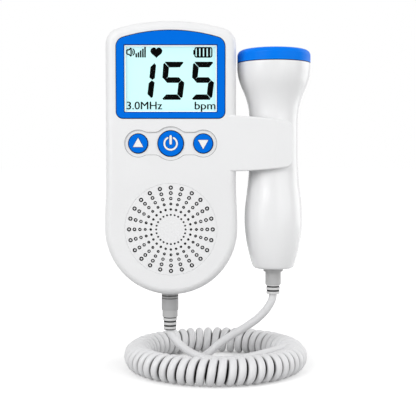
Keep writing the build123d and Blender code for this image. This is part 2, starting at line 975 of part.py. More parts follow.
def probe_solid(inset, top_z, bottom_z):
    """The handle's outer form, or its hollow, between two heights."""
    points = probe_curve(inset)
    (top_r, high), (base_r, low) = points[0], points[-1]
    face = make_face(
        [
            Spline(*points),
            Line((base_r, low), (0, low)),
            Line((0, low), (0, high)),
            Line((0, high), (top_r, high)),
        ]
    )
    solid = revolve(Plane.XZ * face, Axis.Z)
    reach = 3 * probe_head_radius
    keep = block(-reach, reach, -reach, reach, bottom_z, top_z)
    return Pos(probe_x, split_y, 0) * (solid & keep)


def probe_body():
    """The hollow handle before it is split into its two shells."""
    outer = probe_solid(0, probe_top_z, probe_bottom_z)
    base = [
        e
        for e in outer.edges().filter_by(GeomType.CIRCLE)
        if abs(e.center().Z - probe_bottom_z) < 0.01
    ]
    outer = fillet(base, probe_base_corner)
    hollow = probe_solid(probe_wall, probe_top_z - cap_spigot_length, probe_bottom_z + probe_wall)
    mouth_z = probe_top_z - cap_spigot_length - slip_gap
    mouth = rod_z(probe_x, split_y, cap_spigot_radius + slip_gap, mouth_z, probe_top_z + 1)
    neck = rod_z(probe_x, split_y, gland_neck_radius + slip_gap, probe_bottom_z - 1, 0)
    notch_x = probe_x - probe_belly_radius
    notch = block(
        notch_x - 2,
        notch_x + pry_notch_depth,
        split_y - pry_notch_width / 2,
        split_y + pry_notch_width / 2,
        pry_notch_z - pry_notch_height / 2,
        pry_notch_z + pry_notch_height / 2,
    )
    return outer - hollow - mouth - neck - notch


def probe_half(front):
    """One of the two handle shells, which meet on the probe's middle plane."""
    reach = 3 * probe_head_radius
    y0, y1 = (-reach, split_y) if front else (split_y, reach)
    return probe_body() & block(0, 2 * probe_x, y0, y1, -2 * reach, 2 * reach)


cap_spigot_radius = probe_head_radius - probe_wall - slip_gap
face_radius = probe_head_radius - cap_edge_radius - cap_lip_width + face_slack
face_top_z = cap_top_z - face_recess
face_bottom_z = face_top_z - face_thickness
bore_radius = cap_spigot_radius - cap_spigot_wall


def transducer_cap():
    """Blue head ring that carries the transducer and closes the handle's mouth."""
    cap = rod_z(probe_x, split_y, probe_head_radius, probe_top_z, cap_top_z)
    cap = fillet(cap.edges().group_by(Axis.Z)[-1], cap_edge_radius)
    spigot_z = probe_top_z - cap_spigot_length
    cap = cap + rod_z(probe_x, split_y, cap_spigot_radius, spigot_z, probe_top_z)
    cap = cap - rod_z(probe_x, split_y, face_radius, face_bottom_z, cap_top_z + 1)
    return cap - rod_z(probe_x, split_y, bore_radius, spigot_z - 1, cap_top_z)


def acoustic_face():
    """Pale lens that is held against the skin."""
    radius = face_radius - slip_gap / 2
    lens = rod_z(probe_x, split_y, radius, face_bottom_z, face_top_z)
    return fillet(lens.edges().group_by(Axis.Z)[-1], face_edge_radius)


def piezo_elements():
    """Sending and receiving half-discs behind the lens."""
    z0, z1 = face_bottom_z - piezo_thickness, face_bottom_z
    disc = rod_z(probe_x, split_y, piezo_radius, z0, z1)
    reach = 3 * piezo_radius
    halves = []
    for side in (-1, 1):
        near, far = side * piezo_gap / 2, side * reach
        cut = block(
            probe_x + min(near, far),
            probe_x + max(near, far),
            split_y - reach,
            split_y + reach,
            z0 - 1,
            z1 + 1,
        )
        halves.append(disc & cut)
    return Compound(children=halves)


def backing_block():
    """Damping block behind the piezo elements."""
    top = face_bottom_z - piezo_thickness
    return rod_z(probe_x, split_y, bore_radius - slip_gap, top - backing_height, top)


def probe_board():
    """Narrow amplifier board between the handle's shells."""
    half_width = probe_waist_radius - probe_wall - 2 * slip_gap
    return block(
        probe_x - half_width,
        probe_x + half_width,
        split_y - probe_board_thickness / 2,
        split_y + probe_board_thickness / 2,
        probe_board_bottom_z,
        probe_board_top_z,
    )


# ---- glands, plug and boots ----


def slotted(shape, x, radius, heights):
    """Cuts ring slits at the given heights, as on a bend relief."""
    for z in heights:
        ring = rod_z(x, split_y, radius + 1, z - slit_height / 2, z + slit_height / 2)
        core = rod_z(x, split_y, radius - slit_depth, z - slit_height, z + slit_height)
        shape = shape - (ring - core)
    return shape


gland_flange_z = probe_bottom_z - gland_flange_thickness
gland_end_z = gland_flange_z - gland_length
gland_boot_end_z = gland_end_z - gland_boot_length


def probe_gland():
    """Grey gland at the foot of the probe, with a neck held inside the handle."""
    neck_top = probe_bottom_z + probe_wall + gland_neck_slack
    gland = rod_z(probe_x, split_y, gland_flange_radius, gland_flange_z, probe_bottom_z)
    gland = gland + rod_z(probe_x, split_y, gland_radius, gland_end_z, gland_flange_z)
    gland = gland + rod_z(probe_x, split_y, gland_neck_radius, probe_bottom_z, neck_top)
    keeper = rod_z(
        probe_x, split_y, gland_flange_radius, neck_top, neck_top + gland_keeper
    )
    return gland + keeper


def gland_boot():
    """Ribbed bend relief below the probe's gland."""
    boot = rod_z(probe_x, split_y, gland_boot_radius, gland_boot_end_z, gland_end_z)
    slits = [gland_end_z - gland_boot_length * share for share in (0.26, 0.7)]
    return slotted(boot, probe_x, gland_boot_radius, slits)


plug_top_z = case_bottom_z - plug_stand_off
collar_end_z = plug_top_z - plug_collar_length
plug_end_z = collar_end_z - plug_length
step_end_z = plug_end_z - plug_step_length
plug_boot_end_z = step_end_z - plug_boot_length


def plug_barrel():
    """Metal collar and pin of the plug."""
    collar = rod_z(socket_x, split_y, plug_collar_radius, collar_end_z, plug_top_z)
    pin_top = case_bottom_z + plug_pin_length
    return collar + rod_z(socket_x, split_y, plug_pin_radius, plug_top_z, pin_top)


def cord_plug():
    """Moulded grey grip of the plug, with its step."""
    grip = rod_z(socket_x, split_y, plug_radius, plug_end_z, collar_end_z)
    return grip + rod_z(socket_x, split_y, plug_step_radius, step_end_z, plug_end_z)


def plug_boot():
    """Ribbed bend relief below the plug."""
    boot = rod_z(socket_x, split_y, plug_boot_radius, plug_boot_end_z, step_end_z)
    slits = [step_end_z - plug_boot_length * share for share in (0.12, 0.42, 0.72)]
    return slotted(boot, socket_x, plug_boot_radius, slits)


# ---- cord ----

floor_wire_z = coil_centre_z - coil_tube_radius + wire_radius
winding_radius = coil_tube_radius - wire_radius


def winding_point(ring_angle, wire_angle):
    """A point of the coil's wire, at an angle round the ring and round the tube."""
    out = coil_ring_radius + winding_radius * cos(radians(wire_angle))
    return (
        coil_centre[0] + out * cos(radians(ring_angle)),
        coil_centre[1] + out * sin(radians(ring_angle)),
        coil_centre_z + winding_radius * sin(radians(wire_angle)),
    )


monitor_tail_route = [
    (socket_x, split_y, plug_boot_end_z),
    (socket_x, split_y, -89.7),
    (-0.43, -16.2, -92.42),
    (0.5, -16.6, -94.95),
    (1.86, -17.15, -97.24),
    (3.59, -17.84, -99.22),
    (5.65, -18.62, -100.82),
    (7.97, -19.46, -101.98),
    (10.47, -20.29, -102.67),
    (13.05, -21.07, -102.95),
    (16.41, -21.97, -102.84),
    (20.76, -22.91, -102.1),
    (26.08, -23.7, -100.75),
    (31.8, -24.13, -99.2),
    (37.56, -24.06, -97.8),
    (43.3, -23.42, -96.78),
    (48.95, -22.09, -96.1),
    (54.45, -20.03, -95.68),
    winding_point(coil_start_angle, 108.0),
]
probe_tail_route = [
    winding_point(coil_end_angle, -90.0),
    (56.58, -12.5, floor_wire_z),
    (52.84, -15.17, floor_wire_z),
    (49.6, -18.44, floor_wire_z),
    (46.74, -22.04, floor_wire_z),
    (43.96, -25.69, floor_wire_z),
    (40.91, -29.14, floor_wire_z),
    (37.42, -32.15, floor_wire_z),
    (31.44, -35.41, floor_wire_z),
    (24.84, -37.06, floor_wire_z),
    (18.02, -37.04, floor_wire_z),
    (11.3, -35.6, floor_wire_z),
    (5.0, -32.4, floor_wire_z),
    (0.0, -27.4, floor_wire_z),
    (-2.6, -20.7, floor_wire_z),
    (-2.3, -13.5, floor_wire_z),
    (0.9, -7.1, floor_wire_z),
    (6.5, -2.6, -104.1),
    (13.3, -0.93, -102.5),
    (19.83, -1.32, -99.76),
    (25.45, -3.33, -96.52),
    (30.64, -6.15, -93.13),
    (35.78, -9.16, -89.83),
    (41.02, -11.94, -86.45),
    (probe_x - 5.99, split_y + 2.14, -83.11),
    (probe_x - 2.87, split_y + 0.95, -79.61),
    (probe_x - 0.88, split_y + 0.25, -75.98),
    (probe_x, split_y, -72.34),
    (probe_x, split_y, gland_boot_end_z),
]


def corner_radii(route):
    """The largest arc that each corner of the route has room for."""
    points = [Vector(*p) for p in route]
    radii = []
    for before, here, after in zip(points, points[1:], points[2:]):
        run_in, run_out = here - before, after - here
        turn = radians(run_in.get_angle(run_out))
        radii.append(0.45 * min(run_in.length, run_out.length) / tan(turn / 2))
    return radii


def tail(route):
    """A round tube along straight runs joined by tangent arcs."""
    path = FilletPolyline(*route, radius=corner_radii(route))
    start = Plane(origin=path @ 0, z_dir=path % 0)
    return sweep(start * Circle(wire_radius), path=path)


def cord_coil():
    """Outer form of the curly stretch, laid in a ring."""
    centre = (*coil_centre, coil_centre_z)
    radius = coil_ring_radius

    def ring_point(angle):
        return (
            centre[0] + radius * cos(radians(angle)),
            centre[1] + radius * sin(radians(angle)),
            centre[2],
        )

    margin = degrees(asin(wire_radius / radius))
    first, last = coil_start_angle + margin, coil_end_angle - margin
    middle = (first + last) / 2
    path = ThreePointArc(ring_point(first), ring_point(middle), ring_point(last))
    start = Plane(origin=path @ 0, z_dir=path % 0)
    return sweep(start * Circle(coil_tube_radius), path=path)


nodes = {
    "front_shell": front_shell,
    "rear_shell": rear_shell,
    "display_frame": display_frame,
    "display_window": display_window,
    "lcd_panel": lcd_panel,
    "lcd_backlight": lcd_backlight,
    "main_board": main_board,
    "board_chips": board_chips,
    "board_screws": board_screws,
    "tact_switches": tact_switches,
    "speaker_grille": speaker_grille,
    "speaker_mesh": speaker_mesh,
    "speaker_gasket": speaker_gasket,
    "speaker_frame": speaker_frame,
    "speaker_cone": speaker_cone,
    "speaker_magnet": speaker_magnet,
    "battery_cells": battery_cells,
    "battery_springs": battery_springs,
    "battery_plates": battery_plates,
    "battery_door": battery_door,
    "case_screws": case_screws,
    "headphone_jack": headphone_jack,
    "probe_socket": probe_socket,
    "transducer_cap": transducer_cap,
    "acoustic_face": acoustic_face,
    "piezo_elements": piezo_elements,
    "backing_block": backing_block,
    "probe_board": probe_board,
    "probe_gland": probe_gland,
    "gland_boot": gland_boot,
    "plug_barrel": plug_barrel,
    "cord_plug": cord_plug,
    "plug_boot": plug_boot,
    "cord_coil": cord_coil,
}
for node, make in nodes.items():
    save(make(), node)
for which in button_places:
    save(button(which), f"button_{which}")
    save(plunger(which), f"plunger_{which}")
save(probe_half(True), "probe_front_shell")
save(probe_half(False), "probe_rear_shell")
save(tail(monitor_tail_route), "cord_tail_monitor")
save(tail(probe_tail_route), "cord_tail_probe")
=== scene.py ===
import json
from math import cos, hypot, pi, radians, sin

import bmesh
import bpy
from mathutils import Euler, Matrix, Vector


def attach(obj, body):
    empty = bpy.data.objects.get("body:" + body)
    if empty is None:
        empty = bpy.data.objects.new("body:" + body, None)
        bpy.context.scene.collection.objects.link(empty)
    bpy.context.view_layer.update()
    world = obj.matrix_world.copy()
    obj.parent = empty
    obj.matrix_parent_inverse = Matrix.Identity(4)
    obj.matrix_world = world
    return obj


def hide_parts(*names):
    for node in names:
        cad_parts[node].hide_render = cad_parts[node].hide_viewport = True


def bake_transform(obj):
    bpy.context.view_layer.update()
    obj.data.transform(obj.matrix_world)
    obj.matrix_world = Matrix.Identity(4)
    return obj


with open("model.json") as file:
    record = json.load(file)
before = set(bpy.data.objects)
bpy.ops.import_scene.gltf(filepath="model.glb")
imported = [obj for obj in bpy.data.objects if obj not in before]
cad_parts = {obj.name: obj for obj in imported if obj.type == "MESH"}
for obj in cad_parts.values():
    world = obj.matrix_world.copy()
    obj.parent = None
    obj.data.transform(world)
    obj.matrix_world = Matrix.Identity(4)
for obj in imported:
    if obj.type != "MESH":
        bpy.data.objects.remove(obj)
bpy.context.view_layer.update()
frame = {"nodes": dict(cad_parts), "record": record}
nodes = frame["nodes"]
bodyOf = {n: b for b, members in frame["record"]["behaviour"]["bodies"].items() for n in members}
mm = 0.001
print("frame loaded:", len(nodes), "nodes")


def metres(points):
    return [Vector(p) * mm for p in points]


# node trees, written as expressions


class Wire:
    # one output socket that does arithmetic with numbers and other wires
    def __init__(self, sheet, socket):
        self.sheet, self.socket = sheet, socket

    def maths(self, operation, *values):
        return self.sheet.add("ShaderNodeMath", {"operation": operation}, dict(enumerate(values)))

    def __add__(self, other):
        return self.maths("ADD", self, other)

    def __radd__(self, other):
        return self.maths("ADD", other, self)

    def __sub__(self, other):
        return self.maths("SUBTRACT", self, other)

    def __rsub__(self, other):
        return self.maths("SUBTRACT", other, self)

    def __mul__(self, other):
        return self.maths("MULTIPLY", self, other)

    def __rmul__(self, other):
        return self.maths("MULTIPLY", other, self)

    def __truediv__(self, other):
        return self.maths("DIVIDE", self, other)

    def __pow__(self, other):
        return self.maths("POWER", self, other)

    def __mod__(self, other):
        return self.maths("MODULO", self, other)

    def __lt__(self, other):
        return self.maths("LESS_THAN", self, other)

    def sine(self):
        return self.maths("SINE", self)

    def cosine(self):
        return self.maths("COSINE", self)

    def whole(self):
        return self.maths("FLOOR", self)

    def between(self, low, high):  # 0 below low, 1 above high, smooth in between
        return self.sheet.add(
            "ShaderNodeMapRange",
            {"interpolation_type": "SMOOTHSTEP"},
            {"Value": self, "From Min": low, "From Max": high},
        )

    def other(self, name):  # another output of the same node
        return Wire(self.sheet, self.socket.node.outputs[name])


class Sheet:
    def __init__(self, tree):
        self.tree = tree
        tree.nodes.clear()

    def feed(self, socket, value):
        if isinstance(value, (list, tuple)) and value and isinstance(value[0], Wire):
            for wire in value:
                self.tree.links.new(wire.socket, socket)
        elif isinstance(value, Wire):
            self.tree.links.new(value.socket, socket)
        elif socket.type == "RGBA" and len(value) == 3:
            socket.default_value = (*value, 1)
        else:
            socket.default_value = value

    def add(self, kind, settings=None, inputs=None, out=0):
        node = self.tree.nodes.new(kind)
        for key, value in (settings or {}).items():
            setattr(node, key, value)
        for key, value in (inputs or {}).items():
            self.feed(node.inputs[key], value)
        return Wire(self, node.outputs[out]) if len(node.outputs) else None

    def vector(self, x=0.0, y=0.0, z=0.0):
        return self.add("ShaderNodeCombineXYZ", {}, {0: x, 1: y, 2: z})


class Finish(Sheet):
    sockets = {
        "colour": "Base Color",
        "roughness": "Roughness",
        "metal": "Metallic",
        "coat": "Coat Weight",
        "coatRoughness": "Coat Roughness",
        "alpha": "Alpha",
        "glow": "Emission Color",
        "glowStrength": "Emission Strength",
        "specular": "Specular IOR Level",
        "sheen": "Sheen Weight",
        "normal": "Normal",
    }

    def __init__(self, name):
        self.material = bpy.data.materials.new(name)
        self.material.use_nodes = True
        super().__init__(self.material.node_tree)
        self.place = self.add("ShaderNodeTexCoord", out="Object")

    def noise(self, scale, detail=2.0):
        return self.add(
            "ShaderNodeTexNoise", {}, {"Vector": self.place, "Scale": scale, "Detail": detail}
        )

    def axes(self):
        x = self.add("ShaderNodeSeparateXYZ", {}, {0: self.place})
        return x, x.other("Y"), x.other("Z")

    def mixed(self, factor, first, second):
        return self.add(
            "ShaderNodeMix", {"data_type": "RGBA"}, {0: factor, 6: first, 7: second}, out=2
        )

    def bumped(self, height, strength, depth):
        return self.add(
            "ShaderNodeBump", {}, {"Height": height, "Strength": strength, "Distance": depth}
        )

    def close(self, **values):
        surface = self.add(
            "ShaderNodeBsdfPrincipled", {}, {self.sockets[k]: v for k, v in values.items()}
        )
        self.add("ShaderNodeOutputMaterial", {}, {"Surface": surface})
        return self.material


def shade(colour, amount):
    return tuple(c * amount for c in colour)


# the curly part of the cord, in millimetres and degrees

cordFacts = {
    "radius": 2.05,
    "ringCentre": (22.1, -16.0, -100.0),
    "ringRadius": (39.7, 39.0),
    "windingRadius": 4.96,
    "startRing": -2.0,
    "endRing": -352.0,
    "startWire": 108.0,
    "turns": 52.55,
    "crowding": 0.07,
    "pointsPerTurn": 14,
    "sides": 14,
    "wobble": 0.15,
}

# finishes


def mouldedPlastic(name, colour, roughness, specular=0.5):
    # clean injection moulding: hardly visible clouds and a very fine orange peel
    f = Finish(name)
    clouds, peel = f.noise(40, 3), f.noise(1500, 2)
    return f.close(
        colour=f.mixed(clouds.between(0.3, 0.7), shade(colour, 0.985), colour),
        roughness=roughness + (peel - 0.5) * 0.06 + (clouds - 0.5) * 0.04,
        specular=specular,
        normal=f.bumped(peel, 0.05, 0.00002),
    )


def buttonPlastic(name, colour, centre, radius):
    # satin cap with painted shade darkening its rounded rim, standing in for the gap round it
    f = Finish(name)
    x, _, z = f.axes()
    across = ((x - centre[0] * mm) ** 2 + (z - centre[1] * mm) ** 2) ** 0.5
    # painted shade: the colour falls to a sixth over the outer rim
    rim = (across / (radius * mm)).between(0.93, 1.0)
    peel = f.noise(1800, 2)
    return f.close(
        colour=f.mixed(rim, colour, shade(colour, 0.16)),
        roughness=0.35 + (peel - 0.5) * 0.06,
        specular=0.01,
        normal=f.bumped(peel, 0.05, 0.00002),
    )


def softRubber(name, colour, roughness=0.55, grain=0.2):
    f = Finish(name)
    dust, pores = f.noise(90, 3), f.noise(2600, 2)
    return f.close(
        colour=f.mixed(dust.between(0.35, 0.75), shade(colour, 0.93), colour),
        roughness=roughness + (pores - 0.5) * 0.12,
        normal=f.bumped(pores, grain, 0.00003),
    )


def plainMetal(name, colour, roughness, scratch=(60, 60, 2500)):
    # drawn or turned metal: streaks stretched across one axis
    f = Finish(name)
    stretched = f.add("ShaderNodeMapping", {}, {"Vector": f.place, "Scale": scratch})
    streaks = f.add("ShaderNodeTexNoise", {}, {"Vector": stretched, "Scale": 1.0, "Detail": 3.0})
    return f.close(
        colour=f.mixed(streaks.between(0.3, 0.7), shade(colour, 0.88), colour),
        metal=1.0,
        roughness=roughness + (streaks - 0.5) * 0.2,
        normal=f.bumped(streaks, 0.08, 0.00002),
    )


def seamShadedPlastic(name, colour, roughness, seamZ, seam=0.5):
    # moulded cap with painted shade along its lower edge, where it meets the shell
    f = Finish(name)
    z = f.axes()[2]
    peel = f.noise(1500, 2)
    # painted shade: the lowest half millimetre of the cap is nearly black
    above = z.between((seamZ + seam * 0.7) * mm, (seamZ + seam) * mm)
    return f.close(
        colour=f.mixed(above, shade(colour, 0.08), colour),
        roughness=roughness + (peel - 0.5) * 0.06,
        specular=0.05,
        normal=f.bumped(peel, 0.03, 0.00002),
    )


def notchShadedPlastic(name, colour, roughness, coat, notch):
    # glossy handle with painted shade over its pry notch
    f = Finish(name)
    x, y, z = f.axes()
    clouds, peel = f.noise(40, 3), f.noise(1500, 2)
    notchShade = x < notch["highX"] * mm
    for axis, (low, high) in ((y, notch["y"]), (z, notch["z"])):
        notchShade = notchShade * (axis < high * mm) * (1 - (axis < low * mm))
    skin = f.mixed(clouds.between(0.3, 0.7), shade(colour, 0.985), colour)
    return f.close(
        # painted shade: inside the box round the notch the colour falls to 3%
        colour=f.mixed(notchShade, skin, shade(colour, 0.03)),
        roughness=roughness + (peel - 0.5) * 0.06,
        coat=coat,
        coatRoughness=0.08,
        normal=f.bumped(peel, 0.02, 0.00002),
    )


def wovenCloth(name, dark, light, thread):
    # plain weave from two crossing waves
    f = Finish(name)
    x, _, z = f.axes()
    wave = 2 * pi / (thread * mm)
    weave = (x * wave).sine() * (z * wave).sine() * 0.5 + 0.5
    return f.close(
        colour=f.mixed(weave, dark, light),
        roughness=0.9,
        sheen=0.2,
        normal=f.bumped(weave, 0.5, 0.0001),
    )


def printedBoard(name):
    # green solder mask with copper traces showing faintly under it
    f = Finish(name)
    x, _, z = f.axes()
    cell = f.add(
        "ShaderNodeTexVoronoi", {"feature": "DISTANCE_TO_EDGE"}, {"Vector": f.place, "Scale": 260.0}
    )
    trace = 1 - cell.between(0.03, 0.09)
    lanes = ((x * 2400).sine() * (z * 900).sine()).between(0.1, 0.4)
    copper = trace * 0.6 + lanes * 0.25
    return f.close(
        colour=f.mixed(copper, (0.006, 0.07, 0.025), (0.02, 0.17, 0.06)),
        roughness=0.35 + copper * 0.1,
        normal=f.bumped(copper, 0.3, 0.00003),
    )


def lcdField(name, colour):
    # lit field of the display with a faint pixel grid
    f = Finish(name)
    x, _, z = f.axes()
    grid = ((x * 21000).sine() * (z * 21000).sine()).between(0.0, 1.0)
    return f.close(
        colour=f.mixed(grid, colour, shade(colour, 0.98)),
        roughness=0.4 + grid * 0.05,
        specular=0.1,
        glow=colour,
        glowStrength=0.2,
    )


def clearLens(name):
    f = Finish(name)
    smear = f.noise(60, 3)
    return f.close(
        colour=f.mixed(smear, (0.04, 0.05, 0.05), (0.03, 0.04, 0.04)),
        roughness=0.04 + smear * 0.03,
        alpha=0.02,
        specular=0.2,
    )


def flatInk(name, colour, roughness=0.5, specular=0.5, glow=0.0):
    f = Finish(name)
    specks = f.noise(4000, 2)
    return f.close(
        colour=f.mixed(specks.between(0.4, 0.7), colour, shade(colour, 0.9)),
        roughness=roughness + (specks - 0.5) * 0.1,
        specular=specular,
        glow=colour,
        glowStrength=glow,
    )


def curlyJacket(name, colour, roughness):
    # soft jacket with painted shade between the turns of the ring
    facts = cordFacts
    f = Finish(name)
    x, y, z = f.axes()
    (cx, cy, cz), (wide, deep) = facts["ringCentre"], facts["ringRadius"]
    east, north = (x / mm - cx) / wide, (y / mm - cy) / deep
    out = ((east * east + north * north) ** 0.5 - 1.0) * wide
    rise = z / mm - cz
    reach = (out * out + rise * rise) ** 0.5
    winding, radius = facts["windingRadius"], facts["radius"]
    # painted shade on the inward side of the winding, between the turns
    turnShade = 1 - reach.between(winding - 0.1 * radius, winding + 0.62 * radius)
    # no painted shade at the ring's east end, where the tails leave it
    west, aside = 1 - east.between(0.0, 0.5), (north * north).between(0.03, 0.08)
    pores = f.noise(2600, 2)
    return f.close(
        colour=f.mixed(turnShade * west.maths("MAXIMUM", west, aside), colour, shade(colour, 0.1)),
        roughness=roughness + (pores - 0.5) * 0.12,
        normal=f.bumped(pores, 0.06, 0.00003),
    )


def bandedPlug(name, grip, step, edgeZ):
    # moulded grip with a paler step below it
    f = Finish(name)
    z = f.axes()[2]
    pores = f.noise(2600, 2)
    return f.close(
        colour=f.mixed(z.between(edgeZ * mm - 0.0001, edgeZ * mm + 0.0001), step, grip),
        roughness=0.5 + (pores - 0.5) * 0.1,
        normal=f.bumped(pores, 0.15, 0.00003),
    )


def grooveBarrel(name, colour, dark, grooves):
    # screw collar with painted shade in bands round it, where its grooves are
    f = Finish(name)
    z = f.axes()[2]
    pores = f.noise(2600, 2)
    grooveShade = 0
    for low, high in grooves:
        grooveShade = z.between(low * mm, (low + 0.1) * mm) * (
            1 - z.between((high - 0.1) * mm, high * mm)
        ) + grooveShade
    return f.close(
        colour=f.mixed(grooveShade, colour, dark),
        metal=0.3,
        roughness=0.4 + grooveShade * 0.2 + (pores - 0.5) * 0.1,
        normal=f.bumped(pores, 0.1, 0.00002),
    )


shellWhite = (0.86, 0.862, 0.868)
deviceBlue = (0.001, 0.165, 0.79)
finishes = {
    "caseShell": mouldedPlastic("caseShellPlastic", shellWhite, 0.38),
    "probeShell": notchShadedPlastic(
        "probeShellPlastic",
        (0.87, 0.872, 0.878),
        0.18,
        0.15,
        {"highX": 40.0, "y": (-18.0, -15.4), "z": (-25.5, -22.6)},
    ),
    "blueTrim": mouldedPlastic("blueTrimPlastic", deviceBlue, 0.35, specular=0.01),
    "blueCap": seamShadedPlastic("blueCapPlastic", (0.001, 0.205, 0.9), 0.3, 47.3),
    "iconWhite": flatInk("iconWhiteInk", (0.93, 0.93, 0.93)),
    "lcdField": lcdField("lcdFieldGlass", (0.63, 0.975, 0.96)),
    "lcdInk": flatInk("lcdInk", (0.001, 0.001, 0.001), 0.6, 0.02),
    "lcdGrey": flatInk("lcdGreyInk", (0.004, 0.004, 0.004), 0.6, 0.02),
    # the display's white border is print; its glow is painted light that lifts it out of the
    # frame's shade
    "lcdBorderGlow": flatInk("lcdBorderInk", (0.97, 0.98, 0.94), 0.5, 0.2, 0.6),
    "shadowLine": flatInk("shadowLineBlack", (0.006, 0.006, 0.01), 0.6, 0.1),
    # painted shade for the edge of the buttons' recess
    "softLine": flatInk("softLineGrey", (0.42, 0.42, 0.42), 0.6, 0.1),
    "lens": clearLens("displayLens"),
    "diffuser": mouldedPlastic("backlightDiffuser", (0.83, 0.87, 0.88), 0.5),
    "board": printedBoard("circuitBoardMask"),
    "chipEpoxy": softRubber("chipEpoxy", (0.02, 0.02, 0.022), 0.45, 0.3),
    "steel": plainMetal("plainSteel", (0.55, 0.55, 0.57), 0.32),
    "silver": plainMetal("silveredCeramic", (0.72, 0.7, 0.64), 0.4, (300, 300, 300)),
    "ferrite": softRubber("ferriteMagnet", (0.045, 0.045, 0.05), 0.4, 0.3),
    "paper": softRubber("paperCone", (0.05, 0.05, 0.05), 0.85, 0.6),
    "foam": softRubber("closedFoam", (0.04, 0.04, 0.042), 0.95, 1.0),
    "dustCloth": wovenCloth("dustCloth", (0.2, 0.2, 0.21), (0.45, 0.45, 0.46), 0.5),
    # painted shade inside the grille's holes
    "shadeSleeve": flatInk("holeShadeBlack", (0.004, 0.004, 0.004), 0.8, 0.05),
    # a paler copy of the dust cloth: painted light on the cloth seen through the holes
    "litClothDot": wovenCloth("litClothDot", (0.75, 0.75, 0.76), (0.85, 0.85, 0.86), 0.3),
    "cellJacket": mouldedPlastic("cellJacket", (0.03, 0.035, 0.045), 0.3),
    "blackNylon": mouldedPlastic("blackNylon", (0.02, 0.02, 0.022), 0.45),
    "whiteNylon": mouldedPlastic("whiteNylon", (0.8, 0.8, 0.79), 0.45),
    "probeFace": mouldedPlastic("probeFacePlastic", (0.76, 0.77, 0.76), 0.3),
    "greyMoulding": softRubber("greyMoulding", (0.47, 0.47, 0.47), 0.45),
    "plugMoulding": bandedPlug("plugMoulding", (0.4, 0.4, 0.405), (0.48, 0.48, 0.48), -76.9),
    "plugBarrel": grooveBarrel(
        "plugBarrelGrey", (0.3, 0.3, 0.3), (0.07, 0.07, 0.07), [(-71.3, -70.7), (-70.0, -69.2)]
    ),
    "bootRib": softRubber("bootRib", (0.7, 0.7, 0.7), 0.45),
    # painted shade: the boot's core, seen in the slits, is near-black
    "bootSlitShade": softRubber("bootSlitShade", (0.015, 0.015, 0.015), 0.7),
    "cordJacket": curlyJacket("cordJacket", (0.79, 0.79, 0.8), 0.33),
}
print("finishes:", len(finishes))

# camera, floor and light

view = {"lens": 76.27, "place": (18.19, -462.34, -4.74), "pitch": 2.623}
cameraData = bpy.data.cameras.new("camera")
cameraData.lens = view["lens"]
cameraData.clip_start, cameraData.clip_end = 0.01, 50
camera = bpy.data.objects.new("camera", cameraData)
camera.location = Vector(view["place"]) * mm
camera.rotation_euler = (radians(90 - view["pitch"]), 0, 0)
bpy.context.collection.objects.link(camera)
bpy.context.scene.camera = camera
bpy.context.scene.view_settings.view_transform = "Standard"

floorFacts = {
    "height": -106.9,
    "half": 60000,
    "lift": 0.52,
    "nearLift": 0.55,
    "centre": (22, -16),
    "reach": (60, 130),
}


def seenRays(sheet):
    # 1 where the eye, a reflection or a clear piece looks at the backdrop
    path = sheet.add("ShaderNodeLightPath")
    either = path.maths("MAXIMUM", path.other("Is Camera Ray"), path.other("Is Glossy Ray"))
    return path.maths("MAXIMUM", either, path.other("Is Transmission Ray"))


def makeFloor():
    half, z = floorFacts["half"] * mm, floorFacts["height"] * mm
    mesh = bpy.data.meshes.new("floor")
    mesh.from_pydata(
        [(-half, -half, z), (half, -half, z), (half, half, z), (-half, half, z)], [], [(0, 1, 2, 3)]
    )
    floor = bpy.data.objects.new("floor", mesh)
    bpy.context.collection.objects.link(floor)
    f = Finish("paleFloor")
    diffuse = f.add("ShaderNodeBsdfDiffuse", {}, {"Color": (0.98, 0.98, 0.98)})
    x, y, _ = f.axes()
    (cx, cy), (near, far) = floorFacts["centre"], floorFacts["reach"]
    reach = ((x - cx * mm) ** 2.0 + (y - cy * mm) ** 2.0) ** 0.5
    tone = f.mixed(
        reach.between(near * mm, far * mm), shade((1, 1, 1), floorFacts["nearLift"]), (1, 1, 1)
    )
    glow = f.add("ShaderNodeEmission", {}, {"Color": tone, "Strength": floorFacts["lift"]})
    both = f.add("ShaderNodeAddShader", {}, {0: diffuse, 1: glow})
    darker = f.add("ShaderNodeBsdfDiffuse", {}, {"Color": (0.5, 0.5, 0.5)})
    surface = f.add("ShaderNodeMixShader", {}, {0: seenRays(f), 1: darker, 2: both})
    f.add("ShaderNodeOutputMaterial", {}, {"Surface": surface})
    mesh.materials.append(f.material)


def makeWorld(ambient=0.5):
    world = bpy.data.worlds.new("studio")
    bpy.context.scene.world = world
    world.use_nodes = True
    w = Sheet(world.node_tree)
    seen = w.add("ShaderNodeBackground", {}, {"Color": (1, 1, 1), "Strength": 1.0})
    light = w.add("ShaderNodeBackground", {}, {"Color": (1, 1, 1), "Strength": ambient})
    mix = w.add("ShaderNodeMixShader", {}, {0: seenRays(w), 1: light, 2: seen})
    w.add("ShaderNodeOutputWorld", {}, {"Surface": mix})


lamps = {
    "keyBox": {"size": (900, 900), "place": (-800, -1200, 700), "watts": 8.8},
    "leftBox": {"size": (500, 800), "place": (-800, -700, 150), "watts": 1.7},
    "frontBox": {"size": (1300, 1100), "place": (800, -900, 300), "watts": 5.3},
    "rightBox": {"size": (440, 800), "place": (660, 232, 60), "watts": 1.9},
    "topBox": {"size": (900, 600), "place": (0, -200, 1200), "watts": 0.6},
}


